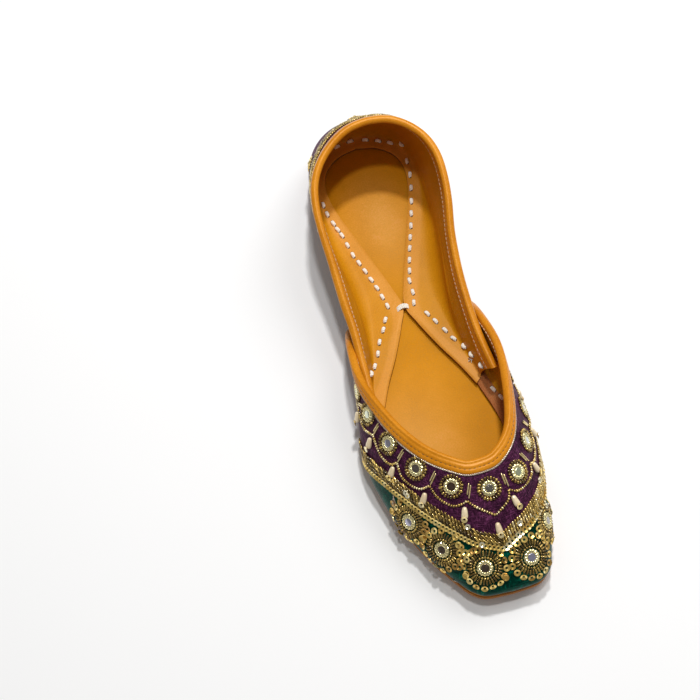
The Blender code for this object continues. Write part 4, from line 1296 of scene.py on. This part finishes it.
print("flowers")
rays, petals = [], []
for number, row in enumerate(toeMirrorRows):
    for shape, radius, count, size, lift, turn, tints in flower["rings"]:
        around, below, heading = ringRound(row, radius, count, turn * number)
        keep = shows(vampChart, around, below)
        centres, axes = framesOn(vampChart, around[keep], below[keep], heading[keep], lift)
        rays.append((*strew(shape, centres, axes, size), draw.uniform(*tints, len(centres))))
    around, below, heading = ringRound(row, flower["petalRadius"], flower["petals"], 0.13 * number)
    keep = shows(vampChart, around, below) & (below > np.interp(around, *chainLine.T) + 0.025)
    centres, axes = framesOn(vampChart, around[keep], below[keep], heading[keep],
                             flower["petalLift"])
    axes = tilted(axes, 0.22 + 0.16 * draw.normal(size=len(centres)), 1)
    centres = centres + axes[:, 0] * flower["petalShift"] * draw.normal(size=(len(centres), 1))
    petals.append((*strew(sequin, centres, axes, flower["petal"]),
                   draw.uniform(0.15, 0.85, len(centres))))
sewnOn(rays, "flowerBeads", beadMetal)
sewnOn(petals, "flowerSequins", sequinMetal)

# Loose sequins that fill the green between the chain and the first three flowers, leaf stitches
# near the sole and single silvery glints

fill = {
    "tries": 900, "around": (-0.27, -0.005), "below": (0.47, 0.92), "apart": 2.9 * mm,
    "fromFlower": (9.2 * mm, 13.5 * mm), "underChain": 0.045, "edge": 0.74, "turn": 6.28,
    "size": 1.60 * mm, "lift": 0.45 * mm, "glintSize": 1.28 * mm, "glintLift": 1.15 * mm,
    "glints": [(-0.220, 0.427), (-0.067, 0.402), (-0.040, 0.505), (0.050, 0.447), (0.173, 0.505),
               (0.144, 0.631), (-0.215, 0.437)]}

print("loose sequins")
around = draw.uniform(*fill["around"], fill["tries"])
below = draw.uniform(*fill["below"], fill["tries"])
flowerCentres = placeOn(vampChart, *toeMirrorRows.T)[0]
places = placeOn(vampChart, around, below)[0]
away = np.linalg.norm(places[:, None] - flowerCentres[None], axis=2).min(1)
nearest, farthest = fill["fromFlower"]
fits = ((away > nearest) & (away < farthest) & (below < fill["edge"])
        & (below > np.interp(around, *chainLine.T) + fill["underChain"])
        & shows(vampChart, around, below))
kept = []
for number in np.flatnonzero(fits):
    if all(np.linalg.norm(places[number] - places[other]) > fill["apart"] for other in kept):
        kept.append(number)
around, below = around[kept], below[kept]
heading = headingOn(vampChart, around, below, draw.uniform(0, fill["turn"], len(kept)))
centres, axes = framesOn(vampChart, around, below, heading, fill["lift"])
axes = tilted(axes, 0.12 + 0.16 * draw.normal(size=len(kept)), 1)
parts = [(*strew(sequin, centres, axes, fill["size"]), draw.uniform(0.05, 0.75, len(kept)))]
around, below = np.transpose(fill["glints"])
heading = headingOn(vampChart, around, below, draw.uniform(0, fill["turn"], len(around)))
centres, axes = framesOn(vampChart, around, below, heading, fill["glintLift"])
parts.append((*strew(sequin, centres, axes, fill["glintSize"]), np.ones(len(around))))
sewnOn(parts, "looseSequins", sequinMetal)

leaf = {"strands": 5, "apart": 0.16, "ahead": 1.6 * mm, "lift": 0.25 * mm,
        "size": (2.6 * mm, 0.26 * mm, 0.24 * mm), "tint": 0.35,
        "places": [(-0.099, 0.853, 0.2), (-0.243, 0.575, 0.4)]}
parts = []
strands = np.arange(leaf["strands"]) - leaf["strands"] // 2
for leafAround, leafBelow, turn in leaf["places"]:
    around, below = np.full(len(strands), leafAround), np.full(len(strands), leafBelow)
    heading = headingOn(vampChart, around, below, turn + leaf["apart"] * strands)
    around, below = walk(vampChart, around, below, heading, leaf["ahead"])
    centres, axes = framesOn(vampChart, around, below, heading, leaf["lift"])
    parts.append((*strew(bugle, centres, axes, leaf["size"]), np.full(len(strands), leaf["tint"])))
sewnOn(parts, "leafStitches", silverCordThread, "thread")

# Back of the shoe: an arch of bugle beads edged with small beads, nearest the top at the middle

back = {
    "edge": [(-0.375, 0.50), (-0.330, 0.36), (-0.270, 0.255), (-0.200, 0.195), (-0.110, 0.160),
             (0.0, 0.150), (0.110, 0.160), (0.200, 0.195), (0.270, 0.255), (0.330, 0.36),
             (0.375, 0.50)],
    "rows": (1.3 * mm, 3.1 * mm), "bugles": (1.75 * mm, 1.70 * mm, 0.46 * mm, -0.60, (0.20, 0.85)),
    "beadRows": (0.0, 4.7 * mm),
    "beads": (1.2 * mm, 0.60 * mm, (1.0, 1.0, 1.0), 0.8, (0.45, 0.95)),
    "sprigs": [(-0.24, 0.50), (-0.12, 0.44), (0.0, 0.42), (0.12, 0.44), (0.24, 0.50)],
    "sprigRings": 8, "sprigRadius": 2.9 * mm, "ring": 1.35 * mm, "ringTilt": 0.2,
    "ringLift": 0.45 * mm, "heart": 1.15 * mm, "heartLift": 0.6 * mm, "heartTint": 0.9}


print("back of the shoe")
parts = [rowOfBugles(quarterChart, underEdge(quarterChart, back["edge"], down), back["bugles"])
         for down in back["rows"]]
for down in back["beadRows"]:
    parts.append(rowOfBeads(quarterChart, underEdge(quarterChart, back["edge"], down), back["beads"]))
rings = []
angle = np.arange(back["sprigRings"]) * 2 * math.pi / back["sprigRings"]
for place in back["sprigs"]:
    around, below = np.full(len(angle), place[0]), np.full(len(angle), place[1])
    heading = headingOn(quarterChart, around, below, angle)
    around, below = walk(quarterChart, around, below, heading, back["sprigRadius"])
    centres, axes = framesOn(quarterChart, around, below, heading, back["ringLift"])
    axes = tilted(axes, np.full(len(angle), back["ringTilt"]), 1)
    rings.append((*strew(sequin, centres, axes, back["ring"]), draw.uniform(0.4, 0.95, len(angle))))
    centre, axes = framesOn(quarterChart, *np.array(place)[:, None], heading[:1], back["heartLift"])
    parts.append((*strew(bead, centre, axes, back["heart"]), np.array([back["heartTint"]])))
sewnOn(parts, "backBeads", beadMetal)
sewnOn(rings, "backSequins", sequinMetal)

# Studio

studio = {
    "cameraPlace": photoEye, "lens": 79.434, "sensor": 36.0,
    "right": (0.966, -0.2526, -0.0556), "up": (0.2544, 0.8889, 0.381),
    "back": (-0.0468, -0.3822, 0.9229),
    "floorSize": 3.0, "world": 0.26,
    # way from the shoe to the light, distance, width, watts
    "lights": [((0.17, 0.39, 1.0), 1.3, 0.10, 8.0), ((0.05, 0.05, 1.0), 1.3, 0.10, 3.9),
               ((0.9, 0.5, 1.2), 1.2, 0.8, 4.5)]}

print("studio")
half = studio["floorSize"] / 2
mesh = bpy.data.meshes.new("floorSheet")
mesh.from_pydata([(-half, -half, 0), (half, -half, 0), (half, half, 0), (-half, half, 0)], [],
                 [(0, 1, 2, 3)])
floorSheet = bpy.data.objects.new("floorSheet", mesh)
bpy.context.scene.collection.objects.link(floorSheet)
floorMaterial, floorNodes, floorShader = finishOf("paleFloor", Roughness=0.9)
floorShader.inputs["Base Color"].default_value = (0.93, 0.93, 0.93, 1)
mesh.materials.append(floorMaterial)

for number, (way, distance, width, power) in enumerate(studio["lights"]):
    light = bpy.data.lights.new(f"softLight{number + 1}", "AREA")
    light.shape = "DISK"
    light.size = width
    light.energy = power
    lamp = bpy.data.objects.new(light.name, light)
    bpy.context.scene.collection.objects.link(lamp)
    towards = unit(np.array(way))
    right = unit(np.cross((0, 1, 0.01), towards))
    turn = Matrix(np.column_stack([right, np.cross(towards, right), towards]).tolist())
    lamp.matrix_world = Matrix.Translation((towards * distance).tolist()) @ turn.to_4x4()

world = bpy.data.worlds.new("paleRoom")
bpy.context.scene.world = world
world.use_nodes = True
background = world.node_tree.nodes["Background"]
background.inputs["Color"].default_value = (1.0, 0.985, 0.965, 1)
background.inputs["Strength"].default_value = studio["world"]

camera = bpy.data.cameras.new("photoCamera")
camera.lens = studio["lens"]
camera.sensor_width = studio["sensor"]
camera.clip_start = 0.01
viewer = bpy.data.objects.new("photoCamera", camera)
bpy.context.scene.collection.objects.link(viewer)
turn = Matrix(np.column_stack([studio["right"], studio["up"], studio["back"]]).tolist())
viewer.matrix_world = Matrix.Translation(studio["cameraPlace"]) @ turn.to_4x4()
bpy.context.scene.camera = viewer
bpy.context.scene.view_settings.view_transform = "Standard"
